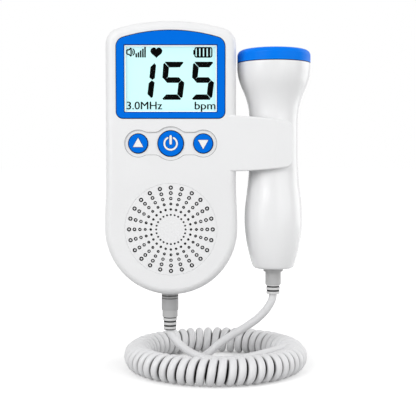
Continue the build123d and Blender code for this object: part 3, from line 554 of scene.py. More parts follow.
def makeLamps(target=(18, -16, -20)):
    for name, lamp in lamps.items():
        data = bpy.data.lights.new(name, "AREA")
        data.shape = "RECTANGLE"
        data.size, data.size_y = lamp["size"][0] * mm, lamp["size"][1] * mm
        data.energy = lamp["watts"]
        light = bpy.data.objects.new(name, data)
        light.location = Vector(lamp["place"]) * mm
        toTarget = Vector(target) * mm - light.location
        light.rotation_euler = toTarget.to_track_quat("-Z", "Y").to_euler()
        bpy.context.collection.objects.link(light)


makeFloor()
makeWorld()
makeLamps()
print("camera, floor and lamps ready")

# piece helpers


def newPiece(name, mesh, material=None):
    piece = bpy.data.objects.new(name, mesh)
    bpy.context.collection.objects.link(piece)
    if material is not None:
        mesh.materials.clear()
        mesh.materials.append(material)
    return piece


def baked(piece):
    # the piece's modifiers turned into its own mesh
    graph = bpy.context.evaluated_depsgraph_get()
    mesh = bpy.data.meshes.new_from_object(
        piece.evaluated_get(graph), preserve_all_data_layers=True, depsgraph=graph
    )
    piece.modifiers.clear()
    piece.data = mesh
    mesh.name = piece.name
    return piece


def smooth(mesh, angle=30):
    mesh.shade_smooth()
    mesh.set_sharp_from_angle(angle=radians(angle))


def rideAs(piece, node, replaced=True):
    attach(piece, bodyOf[node])
    if replaced:
        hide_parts(node)
    return piece


def settledNormals(mesh, angle, flatArea=120e-6):
    # wide flat faces stay flat, and the curved ones beside them take up all the turning
    normals = [face.normal.copy() for face in mesh.polygons]
    planes = [
        (*(round(c, 3) for c in face.normal), round(face.normal.dot(face.center) / mm, 1))
        for face in mesh.polygons
    ]
    spread = {}
    touching = [[] for _ in mesh.vertices]
    for face, plane in zip(mesh.polygons, planes):
        spread[plane] = spread.get(plane, 0.0) + face.area
        for corner in face.vertices:
            touching[corner].append(face.index)
    widths = [spread[plane] for plane in planes]
    limit = cos(radians(angle))
    settled = []
    for face in mesh.polygons:
        own = normals[face.index]
        for corner in face.vertices:
            if widths[face.index] > flatArea:
                settled.append(own)
                continue
            near = [i for i in touching[corner] if normals[i].dot(own) > limit]
            total = sum((normals[i] * widths[i] ** 2 for i in near), Vector())
            settled.append(total.normalized())
    mesh.normals_split_custom_set(settled)


def dressed(node, finish, angle=30):
    # a merged, smooth-shaded copy of a CAD node that stands for it
    mesh = nodes[node].data.copy()
    work = bmesh.new()
    work.from_mesh(mesh)
    bmesh.ops.remove_doubles(work, verts=work.verts, dist=1e-6)
    work.to_mesh(mesh)
    work.free()
    smooth(mesh, angle)
    settledNormals(mesh, angle)
    return rideAs(newPiece(node + "Skin", mesh, finishes[finish]), node)


def prisms(name, outlines, backY, frontY, finish, node):
    # flat shapes drawn in X and Z, in millimetres, with a small depth along Y
    work = bmesh.new()
    for loop in outlines:
        back = [work.verts.new((x * mm, backY * mm, z * mm)) for x, z in loop]
        front = [work.verts.new((x * mm, frontY * mm, z * mm)) for x, z in loop]
        work.faces.new(front)
        work.faces.new(back[::-1])
        count = len(loop)
        for i in range(count):
            j = (i + 1) % count
            work.faces.new((front[i], back[i], back[j], front[j]))
    bmesh.ops.recalc_face_normals(work, faces=work.faces)
    mesh = bpy.data.meshes.new(name)
    work.to_mesh(mesh)
    work.free()
    piece = newPiece(name, mesh, finishes[finish])
    smooth(piece.data, 35)
    return rideAs(piece, node, replaced=False)


def lineLength(line):
    return sum(hypot(p[0] - q[0], p[1] - q[1]) for p, q in zip(line, line[1:]))


def outlineAt(node, y):
    # the closed lines where a plane of constant Y cuts a CAD node, longest first
    work = bmesh.new()
    work.from_mesh(nodes[node].data)
    bmesh.ops.remove_doubles(work, verts=work.verts, dist=1e-6)
    everything = work.verts[:] + work.edges[:] + work.faces[:]
    cut = bmesh.ops.bisect_plane(work, geom=everything, plane_co=(0, y * mm, 0), plane_no=(0, 1, 0))
    waiting = {e for e in cut["geom_cut"] if isinstance(e, bmesh.types.BMEdge)}
    loops = []
    while waiting:
        edge = waiting.pop()
        start, here = edge.verts
        loop = [start, here]
        while here != start:
            onward = next((e for e in here.link_edges if e in waiting), None)
            if onward is None:
                break
            waiting.discard(onward)
            here = onward.other_vert(here)
            loop.append(here)
        loops.append([(v.co.x / mm, v.co.z / mm) for v in loop[:-1]])
    work.free()
    loops.sort(key=lineLength, reverse=True)
    return loops


def offset(loop, distance):
    # the line moved outwards by a distance, with mitred corners
    area = sum(p[0] * q[1] - q[0] * p[1] for p, q in zip(loop, loop[1:] + loop[:1]))
    side = 1 if area > 0 else -1
    moved = []
    for before, here, after in zip(loop[-1:] + loop[:-1], loop, loop[1:] + loop[:1]):
        into = (Vector(here) - Vector(before)).normalized()
        out = (Vector(after) - Vector(here)).normalized()
        first, second = Vector((into.y, -into.x)), Vector((out.y, -out.x))
        mitre = (first + second) / max(0.3, 1 + first.dot(second))
        moved.append(tuple(Vector(here) + mitre * distance * side))
    return moved


def rim(name, loop, inner, outer, backY, frontY, finish, node):
    # a flat ring along a closed line, between two offsets from it
    lines = [(outer, frontY), (inner, frontY), (inner, backY), (outer, backY)]
    mesh = bpy.data.meshes.new(name)
    points = [(x * mm, y * mm, z * mm) for shift, y in lines for x, z in offset(loop, shift)]
    count = len(loop)
    faces = [
        (a * count + i, a * count + (i + 1) % count, b * count + (i + 1) % count, b * count + i)
        for a, b in ((0, 1), (1, 2), (2, 3), (3, 0))
        for i in range(count)
    ]
    mesh.from_pydata(points, [], faces)
    work = bmesh.new()
    work.from_mesh(mesh)
    bmesh.ops.remove_doubles(work, verts=work.verts, dist=1e-7)
    bmesh.ops.recalc_face_normals(work, faces=work.faces)
    work.to_mesh(mesh)
    work.free()
    return rideAs(newPiece(name, mesh, finishes[finish]), node, replaced=False)


def arcPoints(centre, radius, start, end, steps):
    return [
        (
            centre[0] + radius * cos(radians(start + (end - start) * i / steps)),
            centre[1] + radius * sin(radians(start + (end - start) * i / steps)),
        )
        for i in range(steps + 1)
    ]


def arcBand(centre, inner, outer, start, end, steps=24):
    return arcPoints(centre, outer, start, end, steps) + arcPoints(centre, inner, end, start, steps)


def roundedBar(x0, x1, z0, z1, steps=6):
    # an upright bar with half-round ends
    radius, middle = (x1 - x0) / 2, (x0 + x1) / 2
    return arcPoints((middle, z1 - radius), radius, 0, 180, steps) + arcPoints(
        (middle, z0 + radius), radius, 180, 360, steps
    )


# the cord: two tails and the curly ring on one smooth line

monitorTail = [
    (-1.15, -16.0, -87.0),
    (-1.0, -16.08, -88.6),
    (-0.15, -16.35, -90.2),
    (1.68, -16.9, -92.46),
    (4.1, -17.6, -94.83),
    (7.12, -18.4, -97.18),
    (10.58, -19.3, -99.14),
    (14.65, -20.3, -100.61),
    (19.2, -21.3, -101.47),
    (24.24, -22.3, -101.6),
    (29.25, -23.1, -101.32),
    (34.26, -23.7, -100.58),
    (39.27, -23.9, -99.58),
    (44.3, -23.7, -98.46),
    (49.37, -22.7, -97.3),
    (54.6, -20.5, -96.2),
]
floorWire = -104.85
probeTail = [
    (56.58, -12.5, floorWire),
    (52.84, -15.17, floorWire),
    (49.6, -18.44, floorWire),
    (46.74, -22.04, floorWire),
    (43.96, -25.69, floorWire),
    (40.4, -29.2, floorWire),
    (35.8, -32.3, floorWire),
    (30.2, -34.4, floorWire),
    (24.0, -35.0, floorWire),
    (17.8, -33.8, floorWire),
    (12.2, -31.0, floorWire),
    (8.2, -27.0, floorWire),
    (6.1, -22.0, floorWire),
    (6.1, -16.8, floorWire),
    (8.0, -12.2, floorWire),
    (11.2, -8.4, -104.7),
    (15.0, -5.4, -103.8),
    (18.3, -3.6, -102.1),
    (20.7, -2.8, -100.2),
    (23.1, -3.0, -97.8),
    (26.68, -4.0, -95.0),
    (30.71, -5.9, -92.0),
    (35.11, -8.4, -88.9),
    (39.15, -10.6, -85.89),
    (42.71, -12.4, -82.98),
    (45.55, -13.7, -80.18),
    (47.84, -14.7, -77.44),
    (49.66, -15.5, -74.53),
    (50.75, -15.9, -72.1),
    (51.2, -16.0, -70.3),
    (51.3, -16.0, -68.7),
]


def curlyPoints():
    # the helix round the ring, a little uneven as a real curly cord lies
    facts = cordFacts
    cx, cy, cz = facts["ringCentre"]
    count = round(facts["turns"] * facts["pointsPerTurn"])
    points = []
    for i in range(count + 1):
        share = i / count
        ringAngle = facts["startRing"] + share * (facts["endRing"] - facts["startRing"])
        calm = min(1.0, share * 12, (1 - share) * 12)  # no wobble where the tails join
        ringAngle += calm * 0.12 * sin(share * 61) + calm * 0.1 * sin(share * 143 + 1)
        behind = 1 - cos(radians(350 * share + 2))  # the turns crowd at the front, where this grows
        full = behind * facts["crowding"] / (2 * pi)
        wire = radians(facts["startWire"] - 360 * facts["turns"] * (share + full))
        winding = facts["windingRadius"]
        out = calm * facts["wobble"] * sin(share * 97 + 2) + winding * cos(wire)
        wide, deep = facts["ringRadius"]
        points.append(
            (
                cx + (wide + out) * cos(radians(ringAngle)),
                cy + (deep + out) * sin(radians(ringAngle)),
                cz + winding * sin(wire),
            )
        )
    return points


def makeCord():
    points = metres(monitorTail + curlyPoints() + probeTail)
    curve = bpy.data.curves.new("cordLine", "CURVE")
    curve.dimensions = "3D"
    curve.resolution_u = 3
    spline = curve.splines.new("NURBS")
    spline.points.add(len(points) - 1)
    for point, place in zip(spline.points, points):
        point.co = (*place, 1)
    spline.order_u = 3
    spline.use_endpoint_u = True
    line = newPiece("cordLine", curve)
    graph = bpy.context.evaluated_depsgraph_get()
    traced = bpy.data.meshes.new_from_object(line.evaluated_get(graph), depsgraph=graph)
    path = [v.co.copy() for v in traced.vertices]
    curve.bevel_depth = cordFacts["radius"] * mm
    curve.bevel_resolution = (cordFacts["sides"] - 4) // 2
    curve.use_fill_caps = True
    graph = bpy.context.evaluated_depsgraph_get()
    mesh = bpy.data.meshes.new_from_object(line.evaluated_get(graph), depsgraph=graph)
    bpy.data.objects.remove(line)
    smooth(mesh, 50)
    cord = newPiece("curlyCord", mesh, finishes["cordJacket"])
    length = sum((b - a).length for a, b in zip(path, path[1:]))
    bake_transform(cord)
    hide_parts("cord_tail_monitor", "cord_coil", "cord_tail_probe")
    return cord, path, length


cord, cordPath, cordLength = makeCord()
print("cord:", round(cordLength, 3), "m,", len(cord.data.polygons), "faces")

# geometry node trees


def nodeTree(name, numbers, wholes=()):
    tree = bpy.data.node_groups.new(name, "GeometryNodeTree")
    face = tree.interface
    face.new_socket("Geometry", in_out="OUTPUT", socket_type="NodeSocketGeometry")
    face.new_socket("Geometry", in_out="INPUT", socket_type="NodeSocketGeometry")
    for label in numbers:
        face.new_socket(label, in_out="INPUT", socket_type="NodeSocketFloat")
    for label in wholes:
        face.new_socket(label, in_out="INPUT", socket_type="NodeSocketInt")
    g = Sheet(tree)
    source = g.add("NodeGroupInput")
    return tree, g, {s.name: Wire(g, s) for s in source.socket.node.outputs if s.name}


def grown(name, tree, values, start=None):
    # an object whose only modifier is the tree, baked to a plain mesh
    mesh = bpy.data.meshes.new(name)
    mesh.from_pydata([Vector(p) * mm for p in start or [(0, 0, 0)]], [], [])
    piece = newPiece(name, mesh)
    modifier = piece.modifiers.new(name, "NODES")
    modifier.node_group = tree
    for item in tree.interface.items_tree:
        if item.in_out == "INPUT" and item.name in values:
            modifier[item.identifier] = values[item.name]
    return baked(piece)


def joined(g, parts):
    return g.add("GeometryNodeJoinGeometry", {}, {0: parts})


def painted(g, geometry, finish):
    real = g.add("GeometryNodeRealizeInstances", {}, {0: geometry})
    return g.add("GeometryNodeSetMaterial", {}, {"Geometry": real, "Material": finishes[finish]})


def copied(g, points, shape, **more):
    return g.add("GeometryNodeInstanceOnPoints", {}, {"Points": points, "Instance": shape, **more})


def finishTree(g, geometry):
    g.add("NodeGroupOutput", {}, {0: geometry})


grilleFacts = {
    "Disc Radius": 22.6 * mm,
    "Dome": 0.35 * mm,
    "Thickness": 1.2 * mm,
    "First Ring": 7.2 * mm,
    "Ring Pitch": 2.66 * mm,
    "First Hole": 0.5 * mm,
    "Last Hole": 1.08 * mm,
    "Spokes": 24,
    "Rings": 6,
}
grilleWholes = ["Spokes", "Rings"]
grilleNumbers = [label for label in grilleFacts if label not in grilleWholes]
grilleLean = 1.6
grilleCentre = (0.0, -31.344, -35.0)


def ringPlaces(g, inputs):
    # points on the spokes, ring by ring, and the hole radius at each
    index = g.add("GeometryNodeInputIndex")
    ring = (index / inputs["Spokes"]).whole()
    angle = (index % inputs["Spokes"]) * (2 * pi) / inputs["Spokes"] + pi / 2
    reach = inputs["First Ring"] + ring * inputs["Ring Pitch"]
    place = g.vector(reach * angle.cosine(), reach * angle.sine())
    points = g.add(
        "GeometryNodePoints", {}, {"Count": inputs["Spokes"] * inputs["Rings"], "Position": place}
    )
    hole = inputs["First Hole"] + ring / (inputs["Rings"] - 1) * (
        inputs["Last Hole"] - inputs["First Hole"]
    )
    return points, hole, ring


def perforatedDisc():
    tree, g, inputs = nodeTree("perforatedDisc", grilleNumbers, grilleWholes)
    body = g.add(
        "GeometryNodeMeshCylinder",
        {},
        {
            "Vertices": 96,
            "Fill Segments": 12,
            "Radius": inputs["Disc Radius"],
            "Depth": inputs["Thickness"],
        },
    )
    spot = g.add("GeometryNodeInputPosition")
    x = g.add("ShaderNodeSeparateXYZ", {}, {0: spot})
    y, z = x.other("Y"), x.other("Z")
    share = (x * x + y * y) / (inputs["Disc Radius"] * inputs["Disc Radius"])
    rise = inputs["Dome"] * (1 - share) * (1 - (z < 0.0)) - inputs["Thickness"] / 2
    domed = g.add("GeometryNodeSetPosition", {}, {"Geometry": body, "Offset": g.vector(z=rise)})
    points, hole, _ = ringPlaces(g, inputs)
    drill = g.add("GeometryNodeMeshCylinder", {}, {"Vertices": 20, "Radius": 1.0, "Depth": 0.006})
    drills = copied(g, points, drill, Scale=g.vector(hole, hole, 1.0))
    drills = g.add("GeometryNodeRealizeInstances", {}, {0: drills})
    cut = g.add(
        "GeometryNodeMeshBoolean",
        {"operation": "DIFFERENCE", "solver": "MANIFOLD"},
        {0: domed, 1: drills},
    )
    finishTree(g, painted(g, cut, "caseShell"))
    return tree


def lowered(g, copies, drop):
    return g.add(
        "GeometryNodeTranslateInstances", {}, {"Instances": copies, "Translation": (0, 0, -drop)}
    )


def holeShadeSleeves():
    # a black sleeve of painted shade in each hole, with a pale disc of cloth, painted as lit, in
    # its middle
    tree, g, inputs = nodeTree("holeShadeSleeves", grilleNumbers, grilleWholes)
    points, hole, ring = ringPlaces(g, inputs)
    circle = g.add("GeometryNodeCurvePrimitiveCircle", {}, {"Resolution": 20, "Radius": 0.7})
    section = g.add("GeometryNodeCurvePrimitiveQuadrilateral", {}, {"Width": 0.5, "Height": 0.0009})
    shadeSleeve = g.add("GeometryNodeCurveToMesh", {}, {"Curve": circle, "Profile Curve": section})
    shadeSleeves = lowered(g, copied(g, points, shadeSleeve, Scale=g.vector(hole, hole, 1.0)), 0.00065)
    # painted light: a pale cloth disc in the middle of each outer hole
    dot = g.add("GeometryNodeMeshCylinder", {}, {"Vertices": 12, "Radius": 0.42, "Depth": 0.0006})
    swell = hole * ring.between(0.8, 3.2)  # the small inner holes stay dark
    dots = lowered(g, copied(g, points, dot, Scale=g.vector(swell, swell, 1.0)), 0.0004)
    finishTree(g, joined(g, [painted(g, shadeSleeves, "shadeSleeve"), painted(g, dots, "litClothDot")]))
    return tree


def makeGrille():
    seat = (
        Matrix.Translation(Vector(grilleCentre) * mm)
        @ Matrix.Rotation(radians(grilleLean), 4, "X")
        @ Matrix.Rotation(radians(90), 4, "X")
    )
    disc = grown("grilleDisc", perforatedDisc(), grilleFacts)
    shadeSleeves = grown("grilleHoleShade", holeShadeSleeves(), grilleFacts)
    for piece in (disc, shadeSleeves):
        piece.data.transform(seat)
        smooth(piece.data, 30)
    rideAs(disc, "speaker_grille")
    rideAs(shadeSleeves, "speaker_mesh", replaced=False)
    print("grille:", len(disc.data.polygons), "and", len(shadeSleeves.data.polygons), "faces")


makeGrille()

screwFacts = {
    "case_screws": {
        "places": [(25.6, 12.0), (-25.6, 12.0), (19.0, -51.0), (-19.0, -51.0)],
        "seat": -6.0,
        "sizes": {
            "Head Radius": 2.1 * mm,
            "Head Height": 1.6 * mm,
            "Shank Radius": 1.1 * mm,
            "Shank Length": 17.0 * mm,
            "Cross Length": 2.6 * mm,
            "Cross Width": 0.6 * mm,
            "Cross Depth": 0.8 * mm,
        },
    },
    "board_screws": {
        "places": [(27.2, 50.0), (-27.2, 50.0), (24.5, -7.5), (-24.5, -7.5)],
        "seat": -23.8,
        "sizes": {
            "Head Radius": 1.8 * mm,
            "Head Height": 1.2 * mm,
            "Shank Radius": 0.8 * mm,
            "Shank Length": 4.4 * mm,
            "Cross Length": 2.4 * mm,
            "Cross Width": 0.5 * mm,
            "Cross Depth": 0.5 * mm,
        },
    },
}


def crossScrew():
    # one cross-head screw on every point, head towards +Y
    tree, g, inputs = nodeTree("crossScrew", list(screwFacts["case_screws"]["sizes"]))

    def bar(radius, depth, middle, vertices=32):
        shape = g.add(
            "GeometryNodeMeshCylinder", {}, {"Vertices": vertices, "Radius": radius, "Depth": depth}
        )
        return g.add(
            "GeometryNodeTransform", {}, {"Geometry": shape, "Translation": g.vector(z=middle)}
        )

    head = bar(inputs["Head Radius"], inputs["Head Height"], inputs["Head Height"] / 2)
    shank = bar(inputs["Shank Radius"], inputs["Shank Length"], inputs["Shank Length"] * -0.5, 20)
    middle = g.vector(z=inputs["Head Height"])
    slots = []
    for first, second in (("Cross Length", "Cross Width"), ("Cross Width", "Cross Length")):
        size = g.vector(inputs[first], inputs[second], inputs["Cross Depth"] * 2)
        slot = g.add("GeometryNodeMeshCube", {}, {"Size": size})
        slots.append(g.add("GeometryNodeTransform", {}, {"Geometry": slot, "Translation": middle}))
    cut = g.add(
        "GeometryNodeMeshBoolean",
        {"operation": "DIFFERENCE", "solver": "EXACT"},
        {0: head, 1: slots},
    )
    screw = joined(g, [cut, shank])
    turned = g.add(
        "GeometryNodeTransform", {}, {"Geometry": screw, "Rotation": Euler((radians(-90), 0, 0))}
    )
    points = g.add("GeometryNodeMeshToPoints", {}, {0: inputs["Geometry"]})
    finishTree(g, painted(g, copied(g, points, turned), "steel"))
    return tree


screwTree = crossScrew()
for node, facts in screwFacts.items():
    start = [(x, facts["seat"], z) for x, z in facts["places"]]
    screws = grown(node.split("_")[0] + "Screws", screwTree, facts["sizes"], start)
    smooth(screws.data, 35)
    rideAs(screws, node)
print("screws driven")

springFacts = {
    "Turns": 4.5,
    "Base Radius": 3.1 * mm,
    "Tip Radius": 2.1 * mm,
    "Height": 2.0 * mm,
    "Wire Radius": 0.3 * mm,
}
springPlaces = [(-7.45, -10.55, 6.3), (7.45, -10.55, 58.8)]


def coneSpring():
    tree, g, inputs = nodeTree("coneSpring", list(springFacts))
    spiral = g.add(
        "GeometryNodeCurveSpiral",
        {},
        {
            "Resolution": 28,
            "Rotations": inputs["Turns"],
            "Start Radius": inputs["Base Radius"],
            "End Radius": inputs["Tip Radius"],
            "Height": inputs["Height"],
        },
    )
    section = g.add(
        "GeometryNodeCurvePrimitiveCircle", {}, {"Resolution": 10, "Radius": inputs["Wire Radius"]}
    )
    wire = g.add(
        "GeometryNodeCurveToMesh",
        {},
        {"Curve": spiral, "Profile Curve": section, "Fill Caps": True},
    )
    points = g.add("GeometryNodeMeshToPoints", {}, {0: inputs["Geometry"]})
    flip = g.add("GeometryNodeInputIndex") * pi  # the second spring points down
    copies = copied(g, points, wire, Rotation=g.vector(flip))
    finishTree(g, painted(g, copies, "steel"))
    return tree


springs = grown("contactSprings", coneSpring(), springFacts, springPlaces)
smooth(springs.data, 40)
rideAs(springs, "battery_springs")

shellSeamY = -16.0  # both boots sit on the plane where the shells meet
bootFacts = {
    "plug_boot": {
        "x": -1.15,
        "top": -80.5,
        "sizes": {
            "Length": 6.5 * mm,
            "Core Radius": 3.15 * mm,
            "Rib Radius": 3.5 * mm,
            "Rib Height": 1.25 * mm,
            "Rib Step": 2.16 * mm,
            "First Rib": 1.2 * mm,
            "Collar Height": 0.05 * mm,
            "Taper": 0.04,
            "Ribs": 3,
        },
    },
    "gland_boot": {
        "x": 51.3,
        "top": -63.9,
        "sizes": {
            "Length": 4.8 * mm,
            "Core Radius": 3.15 * mm,
            "Rib Radius": 3.5 * mm,
            "Rib Height": 1.2 * mm,
            "Rib Step": 2.1 * mm,
            "First Rib": 2.1 * mm,
            "Collar Height": 0.7 * mm,
            "Taper": 0.03,
            "Ribs": 2,
        },
    },
}


def ribbedBoot():
    # a core painted near-black as the shade between the ribs, with a collar at its top and broad
    # ribs, each a little narrower, below it
    sizes = bootFacts["plug_boot"]["sizes"]
    tree, g, inputs = nodeTree("ribbedBoot", [k for k in sizes if k != "Ribs"], ["Ribs"])

    def bar(radius, height):
        shape = g.add(
            "GeometryNodeMeshCylinder", {}, {"Vertices": 40, "Radius": radius, "Depth": height}
        )
        down = g.vector(z=height * -0.5)
        return g.add("GeometryNodeTransform", {}, {"Geometry": shape, "Translation": down})

    core = bar(inputs["Core Radius"], inputs["Length"])
    collar = bar(inputs["Rib Radius"], inputs["Collar Height"])
    index = g.add("GeometryNodeInputIndex")
    places = g.vector(z=(inputs["First Rib"] + index * inputs["Rib Step"]) * -1.0)
    points = g.add("GeometryNodePoints", {}, {"Count": inputs["Ribs"], "Position": places})
    middle = (inputs["Rib Radius"] + inputs["Core Radius"]) * 0.5
    circle = g.add("GeometryNodeCurvePrimitiveCircle", {}, {"Resolution": 40, "Radius": middle})
    section = g.add(
        "GeometryNodeCurvePrimitiveQuadrilateral",
        {},
        {"Width": inputs["Rib Radius"] - inputs["Core Radius"], "Height": inputs["Rib Height"]},
    )
    section = g.add(
        "GeometryNodeFilletCurve",
        {"mode": "POLY"},
        {"Curve": section, "Radius": inputs["Rib Height"] * 0.1, "Count": 3},
    )
    rib = g.add("GeometryNodeCurveToMesh", {}, {"Curve": circle, "Profile Curve": section})
    narrow = 1 - index * inputs["Taper"]
    ribs = copied(g, points, rib, Scale=g.vector(narrow, narrow, 1.0))
    pale = painted(g, joined(g, [ribs, collar]), "bootRib")
    finishTree(g, joined(g, [painted(g, core, "bootSlitShade"), pale]))
    return tree


bootTree = ribbedBoot()
for node, facts in bootFacts.items():
    boot = grown(node.split("_")[0] + "Relief", bootTree, facts["sizes"])
    boot.data.transform(Matrix.Translation(Vector((facts["x"], shellSeamY, facts["top"])) * mm))
    smooth(boot.data, 35)
    rideAs(boot, node)
print("springs and boots grown")

# smooth skins for the CAD nodes that show a curve or a finish

skins = {
    "front_shell": "caseShell",
    "rear_shell": "caseShell",
    "battery_door": "caseShell",
    "display_frame": "blueTrim",
    "display_window": "lens",
    "transducer_cap": "blueCap",
    "acoustic_face": "probeFace",
    "probe_front_shell": "probeShell",
    "probe_rear_shell": "probeShell",
    "probe_gland": "greyMoulding",
    "cord_plug": "plugMoulding",
    "plug_barrel": "plugBarrel",
    "headphone_jack": "blackNylon",
    "probe_socket": "blackNylon",
    "battery_cells": "cellJacket",
    "speaker_frame": "steel",
    "speaker_cone": "paper",
    "speaker_magnet": "ferrite",
}
for node, finish in skins.items():
    dressed(node, finish)
print("skins:", len(skins))

# CAD nodes that keep their own flat mesh

plainNodes = {
    "lcd_panel": "lcdField",
    "lcd_backlight": "diffuser",
    "main_board": "board",
    "probe_board": "board",
    "board_chips": "chipEpoxy",
    "tact_switches": "blackNylon",
    "speaker_mesh": "dustCloth",
    "speaker_gasket": "foam",
    "battery_plates": "steel",
    "piezo_elements": "silver",
    "backing_block": "foam",
    "plunger_up": "whiteNylon",
    "plunger_power": "whiteNylon",
    "plunger_down": "whiteNylon",
}
for node, finish in plainNodes.items():
    mesh = nodes[node].data
    mesh.materials.clear()
    mesh.materials.append(finishes[finish])

# buttons and their icons

# a rim is its inner and outer offset from a line, then its back and front Y

buttonFacts = {
    "centre": {"up": (-15.85, 7.0), "power": (0.0, 7.0), "down": (15.85, 7.0)},
    "radius": {"up": 4.7, "power": 6.25, "down": 4.7},
    "frontY": -32.4,
    "iconRise": 0.05,
    "triangle": {"half": 2.5, "apex": 2.8, "base": 1.72, "corner": 0.25},
    "power": {
        "outer": 3.5,
        "inner": 2.62,
        "gap": 29,
        "barHalf": 0.6,
        "barTop": 4.05,
        "barBottom": -0.55,
    },
    "iconEdge": 0.18,
    "gapRim": (0.02, 0.28, -31.48, -31.52),
    "podCutY": -31.8,
    "podReach": (20, 24),
    "podRim": (-0.1, 0.16, -31.9, -32.02),
}


def triangle(centre, upwards):
    facts, sign = buttonFacts["triangle"], 1 if upwards else -1
    x, z = centre
    corners = [
        Vector((x, z + sign * facts["apex"])),
        Vector((x - facts["half"], z - sign * facts["base"])),
        Vector((x + facts["half"], z - sign * facts["base"])),
    ]
    outline = []
    for i, corner in enumerate(corners):  # each corner cut to a short round
        before, after = corners[i - 1], corners[(i + 1) % 3]
        for share in (before, after):
            outline.append(corner + (share - corner).normalized() * facts["corner"])
        outline.insert(-1, corner * 0.6 + (outline[-1] + outline[-2]) * 0.2)
    return [tuple(p) for p in outline]


def powerSign(centre):
    facts = buttonFacts["power"]
    x, z = centre
    band = (facts["outer"] + facts["inner"]) / 2
    half = (facts["outer"] - facts["inner"]) / 2
    start, end = 90 + facts["gap"], 450 - facts["gap"]
    tips = [(x + band * cos(radians(a)), z + band * sin(radians(a))) for a in (start, end)]
    outline = (
        arcPoints((x, z), facts["outer"], start, end, 48)
        + arcPoints(tips[1], half, end, end + 180, 8)[1:-1]
        + arcPoints((x, z), facts["inner"], end, start, 48)
        + arcPoints(tips[0], half, start + 180, start + 360, 8)[1:-1]
    )
    bar = roundedBar(
        x - facts["barHalf"], x + facts["barHalf"], z + facts["barBottom"], z + facts["barTop"]
    )
    return [outline, bar]


for which, centre in buttonFacts["centre"].items():
    node = "button_" + which
    finishes[node] = buttonPlastic(
        which + "ButtonPlastic", deviceBlue, centre, buttonFacts["radius"][which]
    )
    dressed(node, node)
    outlines = powerSign(centre) if which == "power" else [triangle(centre, which == "up")]
    front, rise = buttonFacts["frontY"], buttonFacts["iconRise"]
    prisms(which + "Icon", outlines, front + 0.1, front - rise, "iconWhite", node)
    edges = [offset(line, buttonFacts["iconEdge"]) for line in outlines]
    prisms(which + "IconEdge", edges, front + 0.1, front - rise / 2, "shadowLine", node)
    circle = arcPoints(centre, buttonFacts["radius"][which], 0, 360, 64)[:-1]
    rim(which + "Gap", circle, *buttonFacts["gapRim"], "shadowLine", "front_shell")
print("buttons done")

# what the display shows

displayFacts = {
    "glassY": -30.3,
    "inkDepth": 0.05,
    "bold": 0.16,
    "slant": 0.1,
    "middleZ": 37.55,
    "digits": [("bc", -13.35), ("afgcd", 1.17), ("afgcd", 15.62)],
    "grow": 0.2,
    "bars": {
        "a": [(-4.58, 9.02), (3.7, 9.02), (3.95, 8.72), (2.48, 6.7), (-2.53, 6.7)],
        "b": [(4.64, 8.24), (5.29, 7.42), (5.28, 1.39), (4.32, 0.69), (3.04, 1.64), (3.05, 6.65)],
        "c": [
            (4.2, -0.06),
            (5.38, -0.92),
            (5.22, -7.72),
            (4.74, -8.15),
            (2.86, -6.4),
            (2.94, -1.31),
        ],
        "d": [
            (-3.8, -9.02),
            (4.3, -9.02),
            (4.4, -8.66),
            (2.54, -6.83),
            (-2.59, -6.83),
            (-4.1, -8.66),
        ],
        "f": [(-5.0, 8.36), (-5.36, 8.0), (-5.18, 1.64), (-4.1, 0.72), (-2.83, 2.03), (-2.8, 6.26)],
        "g": [(-3.9, 0.4), (-2.53, 1.51), (2.6, 1.51), (3.75, 0.4), (2.71, -0.8), (-2.68, -0.8)],
    },
    "texts": {"displayFrequency": ("3.0MHz", -21.42, -4.24), "displayUnit": ("bpm", 11.75, 21.82)},
    "textBase": 23.7,
    "capHeight": 3.75,
    "fontCap": 0.69,
    "windowCutY": -32.1,
    "lensRim": (-0.35, 0.3, -31.5, -31.52),
    "frameCutY": -31.9,
    "frameRim": (-0.05, 0.3, -31.95, -32.03),
}


def digitBars(lit, centreX):
    facts = displayFacts
    slanted = [
        [(centreX + x + z * facts["slant"], facts["middleZ"] + z) for x, z in facts["bars"][bar]]
        for bar in lit
    ]
    return [offset(loop, facts["grow"]) for loop in slanted]


def heart(centreX, centreZ, width, height, steps=40):
    outline = []
    for i in range(steps):
        a = 2 * pi * i / steps
        x = 16 * sin(a) ** 3 / 32
        z = (13 * cos(a) - 3.6 * cos(2 * a) - 2 * cos(3 * a) - cos(4 * a) + 2.2) / 27.5
        outline.append((centreX + x * width, centreZ + z * height))
    return outline


def box(x0, x1, z0, z1):
    return [(x0, z0), (x1, z0), (x1, z1), (x0, z1)]


def stroke(points, width):
    # a chain of thin quads along a line
    quads = []
    for (x0, z0), (x1, z1) in zip(points, points[1:]):
        long = hypot(x1 - x0, z1 - z0)
        nx, nz = -(z1 - z0) / long * width / 2, (x1 - x0) / long * width / 2
        near = [(x0 + nx, z0 + nz), (x0 - nx, z0 - nz)]
        quads.append(near + [(x1 - nx, z1 - nz), (x1 + nx, z1 + nz)])
    return quads


